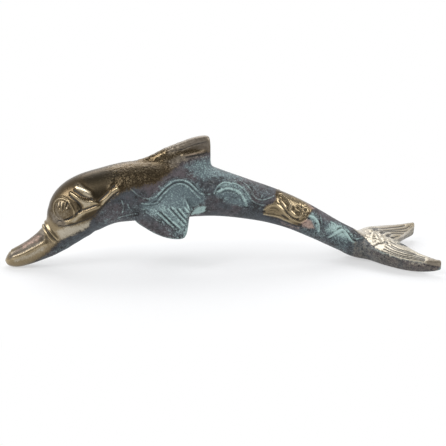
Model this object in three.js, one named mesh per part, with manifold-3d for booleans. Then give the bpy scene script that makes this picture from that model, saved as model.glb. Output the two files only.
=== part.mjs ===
// An arched dolphin in cast bronze, resting on its beak and on the flats of its two flukes.
// The body is two hollow half castings, left and right, that meet on the middle plane over dowels.
// The beak, the band at its root, the eyes, the fins and the flukes are castings of their own, each
// seated on the body with a tenon, a shank or a tongue, and pinned or riveted inside.
// Millimetres. +Z is up, the beak points to -X and the dolphin's left side to -Y.

import * as THREE from "three";
import { mergeVertices } from "three/addons/utils/BufferGeometryUtils.js";
import Module from "manifold-3d";

const wasm = await Module();
wasm.setup();

// Clearances
const seatGap = 0.3; // between castings that meet
const pinClearance = 0.12; // round a pin or shank in its hole
const endClearance = 0.4; // past the end of a pin in its blind hole

// Body, from the beak to the flukes. The spine's highest point is at archHeight over the table.
const bodyLength = 185.8;
const archHeight = 48.6;
const bodyDepth = 38.2;
const bodyWidth = 37.4;
const wall = 3.0;
const solidHead = 7.8; // the head is solid for this length behind the beak
const solidTail = 23.0; // and the tail stock for this length before the flukes

// The spine's place as shares of length and arch height, and the girth as shares of depth and width
const bodyShape = [
  { x: 0.0, z: 0.399, depth: 0.555, width: 0.465 },
  { x: 0.009, z: 0.428, depth: 0.586, width: 0.497 },
  { x: 0.027, z: 0.508, depth: 0.681, width: 0.588 },
  { x: 0.048, z: 0.626, depth: 0.812, width: 0.711 },
  { x: 0.078, z: 0.737, depth: 0.911, width: 0.84 },
  { x: 0.118, z: 0.842, depth: 0.969, width: 0.936 },
  { x: 0.181, z: 0.93, depth: 0.953, width: 0.973 },
  { x: 0.246, z: 0.973, depth: 0.979, width: 0.989 },
  { x: 0.327, z: 0.994, depth: 1.0, width: 1.0 },
  { x: 0.408, z: 1.0, depth: 0.969, width: 0.979 },
  { x: 0.489, z: 0.979, depth: 0.885, width: 0.914 },
  { x: 0.569, z: 0.92, depth: 0.749, width: 0.818 },
  { x: 0.65, z: 0.844, depth: 0.654, width: 0.727 },
  { x: 0.731, z: 0.757, depth: 0.586, width: 0.642 },
  { x: 0.812, z: 0.64, depth: 0.534, width: 0.567 },
  { x: 0.892, z: 0.486, depth: 0.487, width: 0.503 },
  { x: 0.957, z: 0.352, depth: 0.455, width: 0.471 },
  { x: 1.0, z: 0.27, depth: 0.445, width: 0.492 },
];

// Beak, from its tip to the head. Lift is how far its underside has risen towards the head's.
const beakLength = 32.1;
const beakRestCut = 0.3; // depth of the flat filed under it
const beakShape = [
  { x: 0.0, lift: 0.55, depth: 0.143, width: 0.195 },
  { x: 0.028, lift: 0.29, depth: 0.333, width: 0.437 },
  { x: 0.097, lift: 0.055, depth: 0.495, width: 0.655 },
  { x: 0.215, lift: 0.0, depth: 0.59, width: 0.793 },
  { x: 0.355, lift: 0.1, depth: 0.648, width: 0.851 },
  { x: 0.511, lift: 0.272, depth: 0.705, width: 0.885 },
  { x: 0.667, lift: 0.467, depth: 0.781, width: 0.92 },
  { x: 0.826, lift: 0.685, depth: 0.876, width: 0.966 },
  { x: 1.0, lift: 1.0, depth: 0.99, width: 1.0 },
];
// The mouth line's height and half width are shares of the half depth, and it fades in over stations
const mouthGroove = { depth: 0.9, up: 0.1, spread: 0.16, fadeFrom: 0.8, fadeTo: 2.4 };
const beakTenon = { diameter: 9.0, length: 9.5, pinSetback: 5.0 };

// Band over the root of the beak: two beads side by side, open under the jaw
const band = { beadDiameter: 2.9, beadPitch: 2.4, openFrom: -16, sink: 1.1, ahead: 0.8 };

// Eyes: oval studs with a rim and a ball
const eye = { x: 0.078, upAngle: 27, length: 11.2, height: 13.6, base: 2.2, proud: 0.5 };
const eyeBeads = { rim: 2.0, ball: 7.6 };
const eyeShank = { diameter: 3.6, length: 7.0 };
const eyeSpan = { stations: 0.4, degrees: 5 }; // how far off the head's slope is felt for its seat

// Dorsal fin, standing on the back at its tenon. Rise and crest thickness run along its length.
const dorsal = { x: 0.413, length: 53.6, height: 15.3, thickness: 8.4, rootThickness: 26.0 };
const dorsalSeat = { at: 0.522, sink: 17.0 }; // the tenon's share of the length, and the root's depth
const dorsalFlare = 1.7; // how late the sides spread towards the root
const crestRoundness = 0.7;
const dorsalShape = [
  { x: 0.0, rise: -0.039, crest: 0.476 },
  { x: 0.093, rise: 0.078, crest: 0.643 },
  { x: 0.187, rise: 0.183, crest: 0.786 },
  { x: 0.28, rise: 0.333, crest: 0.905 },
  { x: 0.373, rise: 0.497, crest: 0.976 },
  { x: 0.466, rise: 0.627, crest: 1.0 },
  { x: 0.56, rise: 0.745, crest: 1.0 },
  { x: 0.653, rise: 0.869, crest: 0.976 },
  { x: 0.756, rise: 0.967, crest: 0.905 },
  { x: 0.858, rise: 1.0, crest: 0.81 },
  { x: 0.909, rise: 0.928, crest: 0.667 },
  { x: 0.929, rise: 0.693, crest: 0.524 },
  { x: 0.94, rise: 0.196, crest: 0.476 },
  { x: 0.959, rise: -0.183, crest: 0.429 },
  { x: 1.0, rise: -0.366, crest: 0.381 },
];
const dorsalGrooves = { below: [4.8, 10.8], depth: 0.8, halfWidth: 1.5, within: 0.9 };
const dorsalTenon = { length: 27.0, thickness: 4.6, depth: 12.0, root: 4.0 };
const dorsalPins = { spacing: 16.0, fromEnd: 4.0, bossDiameter: 6.2 };

// Pectoral fins, riveted through the flank. The left one's edges from shoulder to tip, from its rivet.
const pectoral = { x: 0.357, angle: 198.4, length: 34.6, thickness: 7.2 };
const pectoralShape = [
  { lead: [-0.535, 0.192, -0.188], trail: [0.043, 0.105, 0.361], thickness: 0.889 },
  { lead: [-0.408, 0.088, -0.234], trail: [0.246, 0.033, 0.26], thickness: 0.972 },
  { lead: [-0.269, 0.001, -0.306], trail: [0.408, -0.033, 0.142], thickness: 1.0 },
  { lead: [-0.118, -0.068, -0.396], trail: [0.5, -0.079, 0.003], thickness: 0.972 },
  { lead: [0.038, -0.126, -0.48], trail: [0.517, -0.12, -0.142], thickness: 0.917 },
  { lead: [0.188, -0.172, -0.54], trail: [0.5, -0.155, -0.275], thickness: 0.833 },
  { lead: [0.309, -0.201, -0.561], trail: [0.48, -0.189, -0.384], thickness: 0.722 },
  { lead: [0.39, -0.218, -0.54], trail: [0.46, -0.212, -0.465], thickness: 0.556 },
];
const pectoralFeathers = { count: 6, depth: 0.9 };
const pectoralFacing = [-0.12, -0.93, -0.35];
const pectoralRivet = { diameter: 5.0, headDiameter: 7.6, headThickness: 1.5 };
const pectoralPad = { diameter: 13.0, depth: 6.0 }; // the boss that thickens the wall behind the fin
const pectoralWasher = { diameter: 9.6, thickness: 1.2 };

// Flukes, from the tail stock to the tips. Edge, top and base are shares of the height at the root.
const flukeLength = 51.4;
const flukeHalfSpan = 41.8;
const flukeHeight = 16.4;
const flukeRestCut = 0.6; // depth of the flats filed under them
const flukeRootShape = [
  { x: 0.0, lift: 1.0, depth: 1.0, width: 1.0 },
  { x: 0.117, lift: 0.4, depth: 1.0, width: 1.141 },
  { x: 0.253, lift: 0.12, depth: 0.894, width: 1.359 },
  { x: 0.389, lift: 0.0, depth: 0.776, width: 1.413 },
  { x: 0.506, lift: 0.0, depth: 0.647, width: 1.087 },
  { x: 0.593, lift: 0.1, depth: 0.529, width: 0.489 },
];
const bladeShape = [
  { lead: [0.078, 0.072], trail: [0.467, -0.096], edge: 0.634, top: 1.0, base: 0.0 },
  { lead: [0.156, 0.275], trail: [0.593, 0.0], edge: 0.659, top: 0.927, base: 0.0 },
  { lead: [0.272, 0.488], trail: [0.654, 0.144], edge: 0.659, top: 0.854, base: 0.0 },
  { lead: [0.399, 0.665], trail: [0.708, 0.292], edge: 0.634, top: 0.787, base: 0.0 },
  { lead: [0.537, 0.809], trail: [0.759, 0.45], edge: 0.591, top: 0.713, base: 0.012 },
  { lead: [0.673, 0.904], trail: [0.817, 0.617], edge: 0.561, top: 0.671, base: 0.073 },
  { lead: [0.802, 0.962], trail: [0.887, 0.77], edge: 0.555, top: 0.665, base: 0.171 },
  { lead: [0.922, 0.99], trail: [0.953, 0.895], edge: 0.573, top: 0.689, base: 0.293 },
  { lead: [0.992, 1.0], trail: [1.0, 0.947], edge: 0.598, top: 0.713, base: 0.39 },
];
const bladeRays = { count: 6, depth: 1.0 };
const flukeTongue = { length: 17.0, height: 8.4, thickness: 3.6, root: 8.0 };
const tailPins = { first: 5.0, spacing: 7.5 };

// Pins and dowels, all lying across the body
const pinDiameter = 2.4;
const beakPinLength = 12.0;
const dorsalPinLength = 18.0;
const tailPinLength = 13.0;
const dowel = { diameter: 3.0, length: 10.0, skin: 0.5 };
const dowelBoss = { diameter: 8.0, reach: 7.5 };
const dowelPlaces = [
  { x: 0.15, side: 1 },
  { x: 0.236, side: -1 },
  { x: 0.559, side: -1 },
  { x: 0.58, side: 1 },
  { x: 0.763, side: -1 },
];

// Fineness of the castings' skins
const ringsPerStation = 2;
const bladeRingsPerStation = 1.5;
const pointsPerRing = 22;
const cavitySides = 14;
const roundSides = 18;
const undersidePoints = 5;
const bandSteps = 18;

// Blades: how full their faces are, and where along them the combing starts and is at full depth
const faceFullness = 0.4;
const undersideFullness = 0.7;
const combFrom = 0.2;
const combFull = 0.4;

const up = new THREE.Vector3(0, 0, 1);
const across = new THREE.Vector3(0, 1, 0);

/** A closed geometry as a solid that can be cut and joined. */
function solid(geometry) {
  const bare = geometry.clone();
  bare.deleteAttribute("normal");
  bare.deleteAttribute("uv");
  const merged = mergeVertices(bare, 1e-4);
  return new wasm.Manifold(
    new wasm.Mesh({
      numProp: 3,
      vertProperties: merged.attributes.position.array,
      triVerts: new Uint32Array(merged.index.array),
    }),
  );
}

/** A closed skin through rings of points, each ring turning left as seen from the far end. */
function skin(rings) {
  const count = rings[0].length;
  const points = rings.flat();
  const faces = [];
  for (let r = 0; r < rings.length - 1; r++)
    for (let i = 0; i < count; i++) {
      const [a, b] = [r * count + i, r * count + ((i + 1) % count)];
      faces.push(a, b, b + count, a, b + count, a + count);
    }
  const middle = (ring) => ring.reduce((sum, p) => sum.add(p), new THREE.Vector3()).divideScalar(count);
  const last = (rings.length - 1) * count;
  points.push(middle(rings[0]), middle(rings.at(-1)));
  for (let i = 0; i < count; i++) {
    const j = (i + 1) % count;
    faces.push(points.length - 2, j, i, points.length - 1, last + i, last + j);
  }
  return solid(new THREE.BufferGeometry().setFromPoints(points).setIndex(faces));
}

/** The smooth line through some stations, read with three of their fields. */
function track(stations, fields) {
  const points = stations.map((s) => new THREE.Vector3(...fields.map((f) => s[f] ?? 0)));
  return new THREE.CatmullRomCurve3(points, false, "catmullrom", 0.5);
}

/** A tapering body round a spine in the middle plane. Places along it are given in stations. */
class Form {
  constructor(stations) {
    this.last = stations.length - 1;
    this.spine = track(stations, ["x", "y", "z"]);
    this.girth = track(stations, ["depth", "width", "y"]);
  }

  at(station) {
    const t = THREE.MathUtils.clamp(station / this.last, 0, 1);
    const centre = this.spine.getPoint(t);
    const along = this.spine.getTangent(t);
    const { x: depth, y: width } = this.girth.getPoint(t);
    return { centre, along, out: across.clone().cross(along).negate(), depth, width };
  }

  /** The station whose centre lies at x. */
  stationAtX(x) {
    let [low, high] = [0, this.last];
    for (let step = 0; step < 40; step++) {
      const middle = (low + high) / 2;
      if (this.at(middle).centre.x < x) low = middle;
      else high = middle;
    }
    return (low + high) / 2;
  }

  /** A point of the surface. The angle is 0 on the right side and 90 on the back. */
  surface(station, angle, grow = 0) {
    const { centre, out, depth, width } = this.at(station);
    const a = THREE.MathUtils.degToRad(angle);
    return centre
      .clone()
      .addScaledVector(across, (width / 2 + grow) * Math.cos(a))
      .addScaledVector(out, (depth / 2 + grow) * Math.sin(a));
  }

  /** The solid between two stations, grown. Its ends move out by endGrow, and dip cuts into it. */
  loft({ from = 0, to = this.last, grow = 0, endGrow = 0, sides = pointsPerRing, dip = () => 0 } = {}) {
    const steps = Math.ceil((to - from) * ringsPerStation);
    const rings = Array.from({ length: steps + 1 }, (_, step) => {
      const station = from + ((to - from) * step) / steps;
      return Array.from({ length: sides }, (_, i) => {
        const angle = (360 * i) / sides;
        return this.surface(station, angle, grow - dip(angle, station));
      });
    });
    const moveOut = (ring, station, amount) => {
      const step = this.at(station).along.multiplyScalar(amount);
      ring.forEach((point) => point.add(step));
    };
    moveOut(rings[0], from, -endGrow);
    moveOut(rings.at(-1), to, endGrow);
    return skin(rings);
  }
}

/** A round rod between two points. */
function rod(start, end, diameter) {
  const reach = end.clone().sub(start);
  const geometry = new THREE.CylinderGeometry(diameter / 2, diameter / 2, reach.length(), roundSides);
  geometry.applyQuaternion(new THREE.Quaternion().setFromUnitVectors(across, reach.clone().normalize()));
  geometry.translate(...start.clone().add(end).divideScalar(2).toArray());
  return solid(geometry);
}

/** A rod that lies across the body at a place of the middle plane. */
function crossRod(place, diameter, from, to) {
  return rod(place.clone().setY(from), place.clone().setY(to), diameter);
}

/** A pin across the body, and the hole that it fits. */
function crossPin(place, length, diameter = pinDiameter) {
  const half = length / 2;
  const deep = half + endClearance;
  return {
    place,
    pin: crossRod(place, diameter, -half, half),
    hole: crossRod(place, diameter + 2 * pinClearance, -deep, deep),
  };
}

/** A block round a place of the middle plane, its long side along a direction of that plane. */
function block(place, along, length, thickness, height) {
  const out = across.clone().cross(along).negate();
  const geometry = new THREE.BoxGeometry(length, thickness, height);
  geometry.applyMatrix4(new THREE.Matrix4().makeBasis(along, across, out).setPosition(place));
  return solid(geometry);
}

/** A box past the size of the figure, moved off the origin. */
function boxOfSpace(x, y, z) {
  return solid(new THREE.BoxGeometry(space, space, space).translate(x, y, z));
}
const space = 2 * (beakLength + bodyLength + flukeLength);
const leftHalf = boxOfSpace(0, -(space + seatGap) / 2, 0);
const rightHalf = boxOfSpace(0, (space + seatGap) / 2, 0);
const underTable = boxOfSpace(0, 0, -space / 2);

const mirrored = (shape) => shape.mirror([0, 1, 0]);
const joined = (shapes) => wasm.Manifold.union(shapes);

// The body's form. Its front end is at x = 0 here, and the whole is centred at the end.
const body = new Form(
  bodyShape.map(({ x, z, depth, width }) => ({
    x: x * bodyLength,
    z: z * archHeight,
    depth: depth * bodyDepth,
    width: width * bodyWidth,
  })),
);
const stationAt = (share) => body.stationAtX(share * bodyLength);
const front = body.at(0);
const tail = body.at(body.last);
const bodySeat = body.loft({ grow: seatGap, endGrow: seatGap });

/** The height of a form's spine whose underside has risen by a share from its flat to its joint. */
function spineHeight(lift, depth, joint, restCut) {
  const jointUnderside = joint.centre.z - joint.depth / 2;
  return depth / 2 + lift * (jointUnderside + restCut) - restCut;
}

// The beak's form: its girth is in shares of the head's front end
const beakForm = new Form(
  beakShape.map(({ x, lift, depth, width }) => ({
    x: front.centre.x - (1 - x) * beakLength,
    z: spineHeight(lift, depth * front.depth, front, beakRestCut),
    depth: depth * front.depth,
    width: width * front.width,
  })),
);

/** Beak: the mouth line runs along both sides, and the tenon enters the head. */
function makeBeak() {
  const dip = (angle, station) => {
    const offLine = Math.abs(Math.sin(THREE.MathUtils.degToRad(angle)) - mouthGroove.up);
    const fade = THREE.MathUtils.smoothstep(station, mouthGroove.fadeFrom, mouthGroove.fadeTo);
    return mouthGroove.depth * Math.max(0, 1 - offLine / mouthGroove.spread) * fade;
  };
  const step = front.along;
  const alongTenon = (distance) => front.centre.clone().addScaledVector(step, distance);
  const root = alongTenon(-beakTenon.diameter / 2);
  const tenon = rod(root, alongTenon(beakTenon.length), beakTenon.diameter);
  const socketEnd = alongTenon(beakTenon.length + endClearance);
  const socket = rod(root, socketEnd, beakTenon.diameter + 2 * seatGap);
  const { pin, hole } = crossPin(alongTenon(beakTenon.pinSetback), beakPinLength);
  const outside = beakForm.loft({ dip }).subtract(bodySeat).subtract(underTable);
  return { beak: outside.add(tenon).subtract(hole), socket, pin, hole };
}

/** Band: a double bead swept over the joint of beak and head, from cheek to cheek. */
function makeBand() {
  const radius = band.beadDiameter / 2;
  const half = band.beadPitch / 2;
  const notch = Math.acos(half / radius);
  const section = new THREE.Shape();
  section.absarc(half, 0, radius, -Math.PI + notch, Math.PI - notch, false);
  section.absarc(-half, 0, radius, notch, 2 * Math.PI - notch, false);
  const path = Array.from({ length: bandSteps + 1 }, (_, step) => {
    const angle = THREE.MathUtils.lerp(band.openFrom, 180 - band.openFrom, step / bandSteps);
    return body.surface(0, angle, radius - band.sink).addScaledVector(front.along, -band.ahead);
  });
  const geometry = new THREE.ExtrudeGeometry(section, {
    steps: bandSteps,
    curveSegments: 4,
    bevelEnabled: false,
    extrudePath: new THREE.CatmullRomCurve3(path),
  });
  const beakSeat = beakForm.loft({ grow: seatGap, endGrow: seatGap });
  return solid(geometry).subtract(bodySeat).subtract(beakSeat);
}

/** Left eye: an oval stud with a rim, a moat and a ball, and the pocket of the head that it fits. */
function makeEye() {
  const station = stationAt(eye.x);
  const angle = 180 - eye.upAngle;
  const place = body.surface(station, angle);
  const between = (from, to) => body.surface(...to).sub(body.surface(...from)).normalize();
  const lengthwise = between([station - eyeSpan.stations, angle], [station + eyeSpan.stations, angle]);
  const girthwise = between([station, angle + eyeSpan.degrees], [station, angle - eyeSpan.degrees]);
  const outward = lengthwise.clone().cross(girthwise).normalize();
  const forwards = lengthwise.clone().negate();
  const upwards = forwards.clone().cross(outward);
  const frame = new THREE.Matrix4().makeBasis(forwards, outward, upwards).setPosition(place);
  frame.multiply(new THREE.Matrix4().makeScale(eye.length / eye.height, 1, 1));

  const turned = (profile) => {
    const points = profile.map(([radius, height]) => new THREE.Vector2(radius, height));
    return solid(new THREE.LatheGeometry(points, roundSides).applyMatrix4(frame));
  };
  const arc = (radius, centre, toAngle, height) =>
    [0, 0.2, 0.4, 0.6, 0.8, 1].map((share) => {
      const turn = toAngle * share;
      return [centre + radius * Math.cos(turn), height + radius * Math.sin(turn)];
    });
  const rim = eye.height / 2;
  const bead = eyeBeads.rim / 2;
  const shank = eyeShank.diameter / 2;
  const stud = turned([
    [0, -eyeShank.length],
    [shank, -eyeShank.length],
    [shank, -eye.base],
    [rim, -eye.base],
    ...arc(bead, rim - bead, Math.PI, eye.proud),
    ...arc(eyeBeads.ball / 2, 0, Math.PI / 2, eye.proud - bead),
  ]);
  const pocket = turned([
    [0, -eyeShank.length - endClearance],
    [shank + pinClearance, -eyeShank.length - endClearance],
    [shank + pinClearance, -eye.base - seatGap],
    [rim + seatGap, -eye.base - seatGap],
    [rim + seatGap, rim],
    [0, rim],
  ]);
  return { stud, pocket };
}

/** One ring of the dorsal fin: up the right side past the grooves, over the crest and down the left. */
function dorsalRing(x, crest, z, rootZ) {
  const tip = crest / 2;
  const root = (dorsal.rootThickness / 2) * (crest / dorsal.thickness);
  const height = z - rootZ;
  const { below, depth, halfWidth, within } = dorsalGrooves;
  const drops = below.flatMap((middle) => [middle + halfWidth, middle, middle - halfWidth]);
  const squeeze = Math.min(1, (within * height) / Math.max(...drops));
  const side = drops
    .sort((a, b) => b - a)
    .map((drop) => {
      const down = drop * squeeze;
      const half = tip + (root - tip) * (down / height) ** dorsalFlare;
      return new THREE.Vector3(x, half - (below.includes(drop) ? depth : 0), z - down);
    });
  side.unshift(new THREE.Vector3(x, root, rootZ));
  const top = [0, 1, 2, 3, 4, 5, 6].map((turn) => {
    const a = (Math.PI * turn) / 6;
    return new THREE.Vector3(x, tip * Math.cos(a), z - crestRoundness * tip * (1 - Math.sin(a)));
  });
  const otherSide = side.map((point) => point.clone().setY(-point.y)).reverse();
  return [...side, ...top, ...otherSide];
}

/** Dorsal fin: a thick blade with a beaded crest and a tenon that drops between the half castings. */
function makeDorsalFin() {
  const station = stationAt(dorsal.x);
  const { along, out } = body.at(station);
  const crown = body.surface(station, 90);
  const line = track(dorsalShape, ["x", "crest", "rise"]);
  const steps = Math.round((dorsalShape.length - 1) * bladeRingsPerStation);
  const rings = Array.from({ length: steps + 1 }, (_, step) => {
    const { x, y: crest, z: rise } = line.getPoint(step / steps);
    return dorsalRing(
      crown.x + (x - dorsalSeat.at) * dorsal.length,
      crest * dorsal.thickness,
      crown.z + rise * dorsal.height,
      crown.z - dorsalSeat.sink,
    );
  });
  const { length, thickness, depth, root } = dorsalTenon;
  const tenonAt = (extra) =>
    block(
      crown.clone().addScaledVector(out, (root - depth) / 2),
      along,
      length + 2 * extra,
      thickness + 2 * extra,
      root + depth + 2 * extra,
    );
  const pinLine = crown.clone().addScaledVector(out, dorsalPins.fromEnd - depth);
  const pins = [-0.5, 0.5].map((share) =>
    crossPin(pinLine.clone().addScaledVector(along, share * dorsalPins.spacing), dorsalPinLength),
  );
  const blade = skin(rings).subtract(bodySeat).add(tenonAt(0));
  const fin = blade.subtract(joined(pins.map(({ hole }) => hole)));
  return { fin, slot: tenonAt(seatGap), pins };
}

/** A blade between two edges, its upper or outer face combed into ridges that run to the tip. */
function combedBlade(stations, outward, comb) {
  const [leading, trailing] = ["lead", "trail"].map(
    (edge) => new THREE.CatmullRomCurve3(stations.map((s) => new THREE.Vector3(...s[edge]))),
  );
  const sizes = track(stations, ["above", "below", "y"]);
  const steps = Math.round((stations.length - 1) * bladeRingsPerStation);
  const facePoints = 2 * comb.count;
  const bulge = (share, power) => (4 * share * (1 - share)) ** power;
  const rings = [];
  for (let step = 0; step <= steps; step++) {
    const t = step / steps;
    const [lead, trail] = [leading.getPoint(t), trailing.getPoint(t)];
    const { x: above, y: below } = sizes.getPoint(t);
    const groove = comb.depth * THREE.MathUtils.smoothstep(t, combFrom, combFull);
    const ring = [];
    const add = (share, height) => {
      ring.push(lead.clone().lerp(trail, share).addScaledVector(outward, height));
    };
    for (let i = 0; i <= facePoints; i++) {
      const inGroove = i % 2 === 0 && i > 0 && i < facePoints;
      add(i / facePoints, (above - (inGroove ? groove : 0)) * bulge(i / facePoints, faceFullness));
    }
    for (let i = undersidePoints; i > 0; i--) {
      const share = i / (undersidePoints + 1);
      add(share, -below * bulge(share, undersideFullness));
    }
    rings.push(ring.reverse());
  }
  return skin(rings);
}

/** Left pectoral fin, its rivet through the flank, the washer under it and the boss behind it. */
function makePectoralFin() {
  const station = stationAt(pectoral.x);
  const rivetAt = body.surface(station, pectoral.angle);
  const onFin = (shares) => shares.map((share, axis) => rivetAt.getComponent(axis) + share * pectoral.length);
  const stations = pectoralShape.map(({ lead, trail, thickness }) => {
    const half = (thickness * pectoral.thickness) / 2;
    return { lead: onFin(lead), trail: onFin(trail), above: half, below: half };
  });
  const outward = new THREE.Vector3(...pectoralFacing).normalize();
  const blade = combedBlade(stations, outward, pectoralFeathers).subtract(bodySeat);

  const outside = rivetAt.y - bodyWidth / 2;
  const padFace = rivetAt.y + pectoralPad.depth;
  const washerFrom = padFace + seatGap;
  const headFrom = washerFrom + pectoralWasher.thickness + seatGap;
  const headTo = headFrom + pectoralRivet.headThickness;
  const { diameter, headDiameter } = pectoralRivet;
  const washerDiameter = pectoralWasher.diameter;
  const shank = crossRod(rivetAt, diameter, rivetAt.y - 2 * seatGap, headTo);
  const head = crossRod(rivetAt, headDiameter, headFrom, headTo);
  const hole = crossRod(rivetAt, diameter + 2 * pinClearance, outside, 0);
  const washer = crossRod(rivetAt, washerDiameter, washerFrom, washerFrom + pectoralWasher.thickness);
  const spotFace = crossRod(rivetAt, washerDiameter + 2 * seatGap, padFace, 0);
  return {
    fin: joined([blade, shank, head]),
    washer: washer.subtract(hole),
    boss: crossRod(rivetAt, pectoralPad.diameter, outside, padFace),
    hole: hole.add(spotFace),
  };
}

/** Flukes: the root, two combed blades and the tongues as one shape, to be cut on the middle plane. */
function makeFlukes() {
  const root = new Form(
    flukeRootShape.map(({ x, lift, depth, width }) => ({
      x: tail.centre.x + x * flukeLength,
      z: spineHeight(lift, depth * tail.depth, tail, flukeRestCut),
      depth: depth * tail.depth,
      width: width * tail.width,
    })),
  );
  const stations = bladeShape.map(({ lead, trail, edge, top, base }) => {
    const place = ([x, y]) => [tail.centre.x + x * flukeLength, -y * flukeHalfSpan, edge * flukeHeight];
    return {
      lead: place(lead),
      trail: place(trail),
      above: (top - edge) * flukeHeight,
      below: (edge - base) * flukeHeight + flukeRestCut,
    };
  });
  const blade = combedBlade(stations, up, bladeRays);
  const outside = joined([root.loft(), blade, mirrored(blade)]).subtract(bodySeat).subtract(underTable);

  const { length, height, thickness, root: tongueRoot } = flukeTongue;
  const intoTail = (distance) => tail.centre.clone().addScaledVector(tail.along, -distance);
  const tonguesAt = (extra) =>
    block(
      intoTail((length - tongueRoot) / 2),
      tail.along,
      length + tongueRoot + 2 * extra,
      2 * (thickness + extra),
      height + 2 * extra,
    );
  const pins = [tailPins.first, tailPins.first + tailPins.spacing].map((distance) =>
    crossPin(intoTail(distance), tailPinLength),
  );
  const pair = outside.add(tonguesAt(0)).subtract(joined(pins.map(({ hole }) => hole)));
  return { pair, socket: tonguesAt(seatGap), pins };
}

/** Dowels across the seam, with the bosses that carry them inside the half castings. */
function makeDowels() {
  return dowelPlaces.map(({ x, side }) => {
    const { centre, out, depth } = body.at(stationAt(x));
    const inset = depth / 2 - dowelBoss.diameter / 2 - dowel.skin;
    const pin = crossPin(centre.clone().addScaledVector(out, side * inset), dowel.length, dowel.diameter);
    return { ...pin, boss: crossRod(pin.place, dowelBoss.diameter, -dowelBoss.reach, dowelBoss.reach) };
  });
}

const beakParts = makeBeak();
const eyeParts = makeEye();
const dorsalParts = makeDorsalFin();
const pectoralParts = makePectoralFin();
const flukeParts = makeFlukes();
const dowels = makeDowels();

/** The body before it is parted: hollow, with its bosses inside and its sockets and holes. */
function makeBody() {
  const outside = body.loft();
  const cavity = body.loft({
    from: body.stationAtX(solidHead),
    to: body.stationAtX(bodyLength - solidTail),
    grow: -wall,
    sides: cavitySides,
  });
  const pinBosses = dorsalParts.pins.map(({ place }) =>
    crossRod(place, dorsalPins.bossDiameter, -bodyWidth / 2, bodyWidth / 2),
  );
  const padBosses = [pectoralParts.boss, mirrored(pectoralParts.boss)];
  const bosses = joined([...pinBosses, ...padBosses, ...dowels.map(({ boss }) => boss)]);
  const onePerSide = [eyeParts.pocket, pectoralParts.hole];
  const pinHoles = [beakParts, ...dorsalParts.pins, ...flukeParts.pins, ...dowels].map(({ hole }) => hole);
  const openings = joined([
    beakParts.socket,
    dorsalParts.slot,
    flukeParts.socket,
    ...onePerSide,
    ...onePerSide.map(mirrored),
    ...pinHoles,
  ]);
  return outside.subtract(cavity).add(bosses.intersect(outside)).subtract(openings);
}

// Finishes
const polished = new THREE.MeshStandardMaterial({ color: 0x9a8258, roughness: 0.34, metalness: 0.9 });
const patinated = new THREE.MeshStandardMaterial({ color: 0x5c5a58, roughness: 0.55, metalness: 0.6 });
const verdigris = new THREE.MeshStandardMaterial({ color: 0x6f8786, roughness: 0.75, metalness: 0.3 });
const rubbed = new THREE.MeshStandardMaterial({ color: 0xa89c7c, roughness: 0.45, metalness: 0.8 });
const brass = new THREE.MeshStandardMaterial({ color: 0xb8a06a, roughness: 0.4, metalness: 0.9 });

const dolphin = new THREE.Group();

/** Adds a solid to the dolphin as a named mesh. */
function addPiece(name, shape, material) {
  const { numVert, numProp, vertProperties, triVerts } = shape.getMesh();
  const positions = new Float32Array(numVert * 3);
  for (let i = 0; i < numVert; i++) {
    positions.set(vertProperties.subarray(i * numProp, i * numProp + 3), i * 3);
  }
  const geometry = new THREE.BufferGeometry();
  geometry.setAttribute("position", new THREE.BufferAttribute(positions, 3));
  geometry.setIndex(new THREE.BufferAttribute(triVerts, 1));
  geometry.computeVertexNormals();
  const mesh = new THREE.Mesh(geometry, material);
  mesh.name = name;
  dolphin.add(mesh);
}

const wholeBody = makeBody();
addPiece("body_shell_left", wholeBody.intersect(leftHalf), patinated);
addPiece("body_shell_right", wholeBody.intersect(rightHalf), patinated);
addPiece("beak", beakParts.beak, polished);
addPiece("beak_band", makeBand(), polished);
addPiece("eye_left", eyeParts.stud, polished);
addPiece("eye_right", mirrored(eyeParts.stud), polished);
addPiece("dorsal_fin", dorsalParts.fin, polished);
addPiece("pectoral_fin_left", pectoralParts.fin, verdigris);
addPiece("pectoral_fin_right", mirrored(pectoralParts.fin), verdigris);
addPiece("pectoral_washer_left", pectoralParts.washer, brass);
addPiece("pectoral_washer_right", mirrored(pectoralParts.washer), brass);
addPiece("fluke_left", flukeParts.pair.intersect(leftHalf), rubbed);
addPiece("fluke_right", flukeParts.pair.intersect(rightHalf), rubbed);
addPiece("beak_pin", beakParts.pin, brass);
dorsalParts.pins.forEach(({ pin }, n) => addPiece(`dorsal_pin_${n + 1}`, pin, brass));
flukeParts.pins.forEach(({ pin }, n) => addPiece(`tail_pin_${n + 1}`, pin, brass));
dowels.forEach(({ pin }, n) => addPiece(`seam_dowel_${n + 1}`, pin, brass));

// The origin is on the table, under the middle of the whole figure
const extent = new THREE.Box3().setFromObject(dolphin);
dolphin.position.x = -(extent.min.x + extent.max.x) / 2;

export default dolphin;
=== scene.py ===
"""An arched dolphin in cast bronze, resting on its beak and its two flukes.

The whole animal is modelled first as one clay original, with its carved relief, the places of its patina
and the highlights and shade painted into its colour. The clay is then cut into the castings that the bronze
is put together from, so that the relief and the patina run on from one to the next. Lengths are in metres, +Z
is up and the beak points to -X.
"""

import math

import bmesh
import bpy
import numpy as np
from bpy.props import FloatProperty, FloatVectorProperty, PointerProperty
from mathutils import Matrix, Vector, noise
from mathutils.bvhtree import BVHTree


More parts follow.
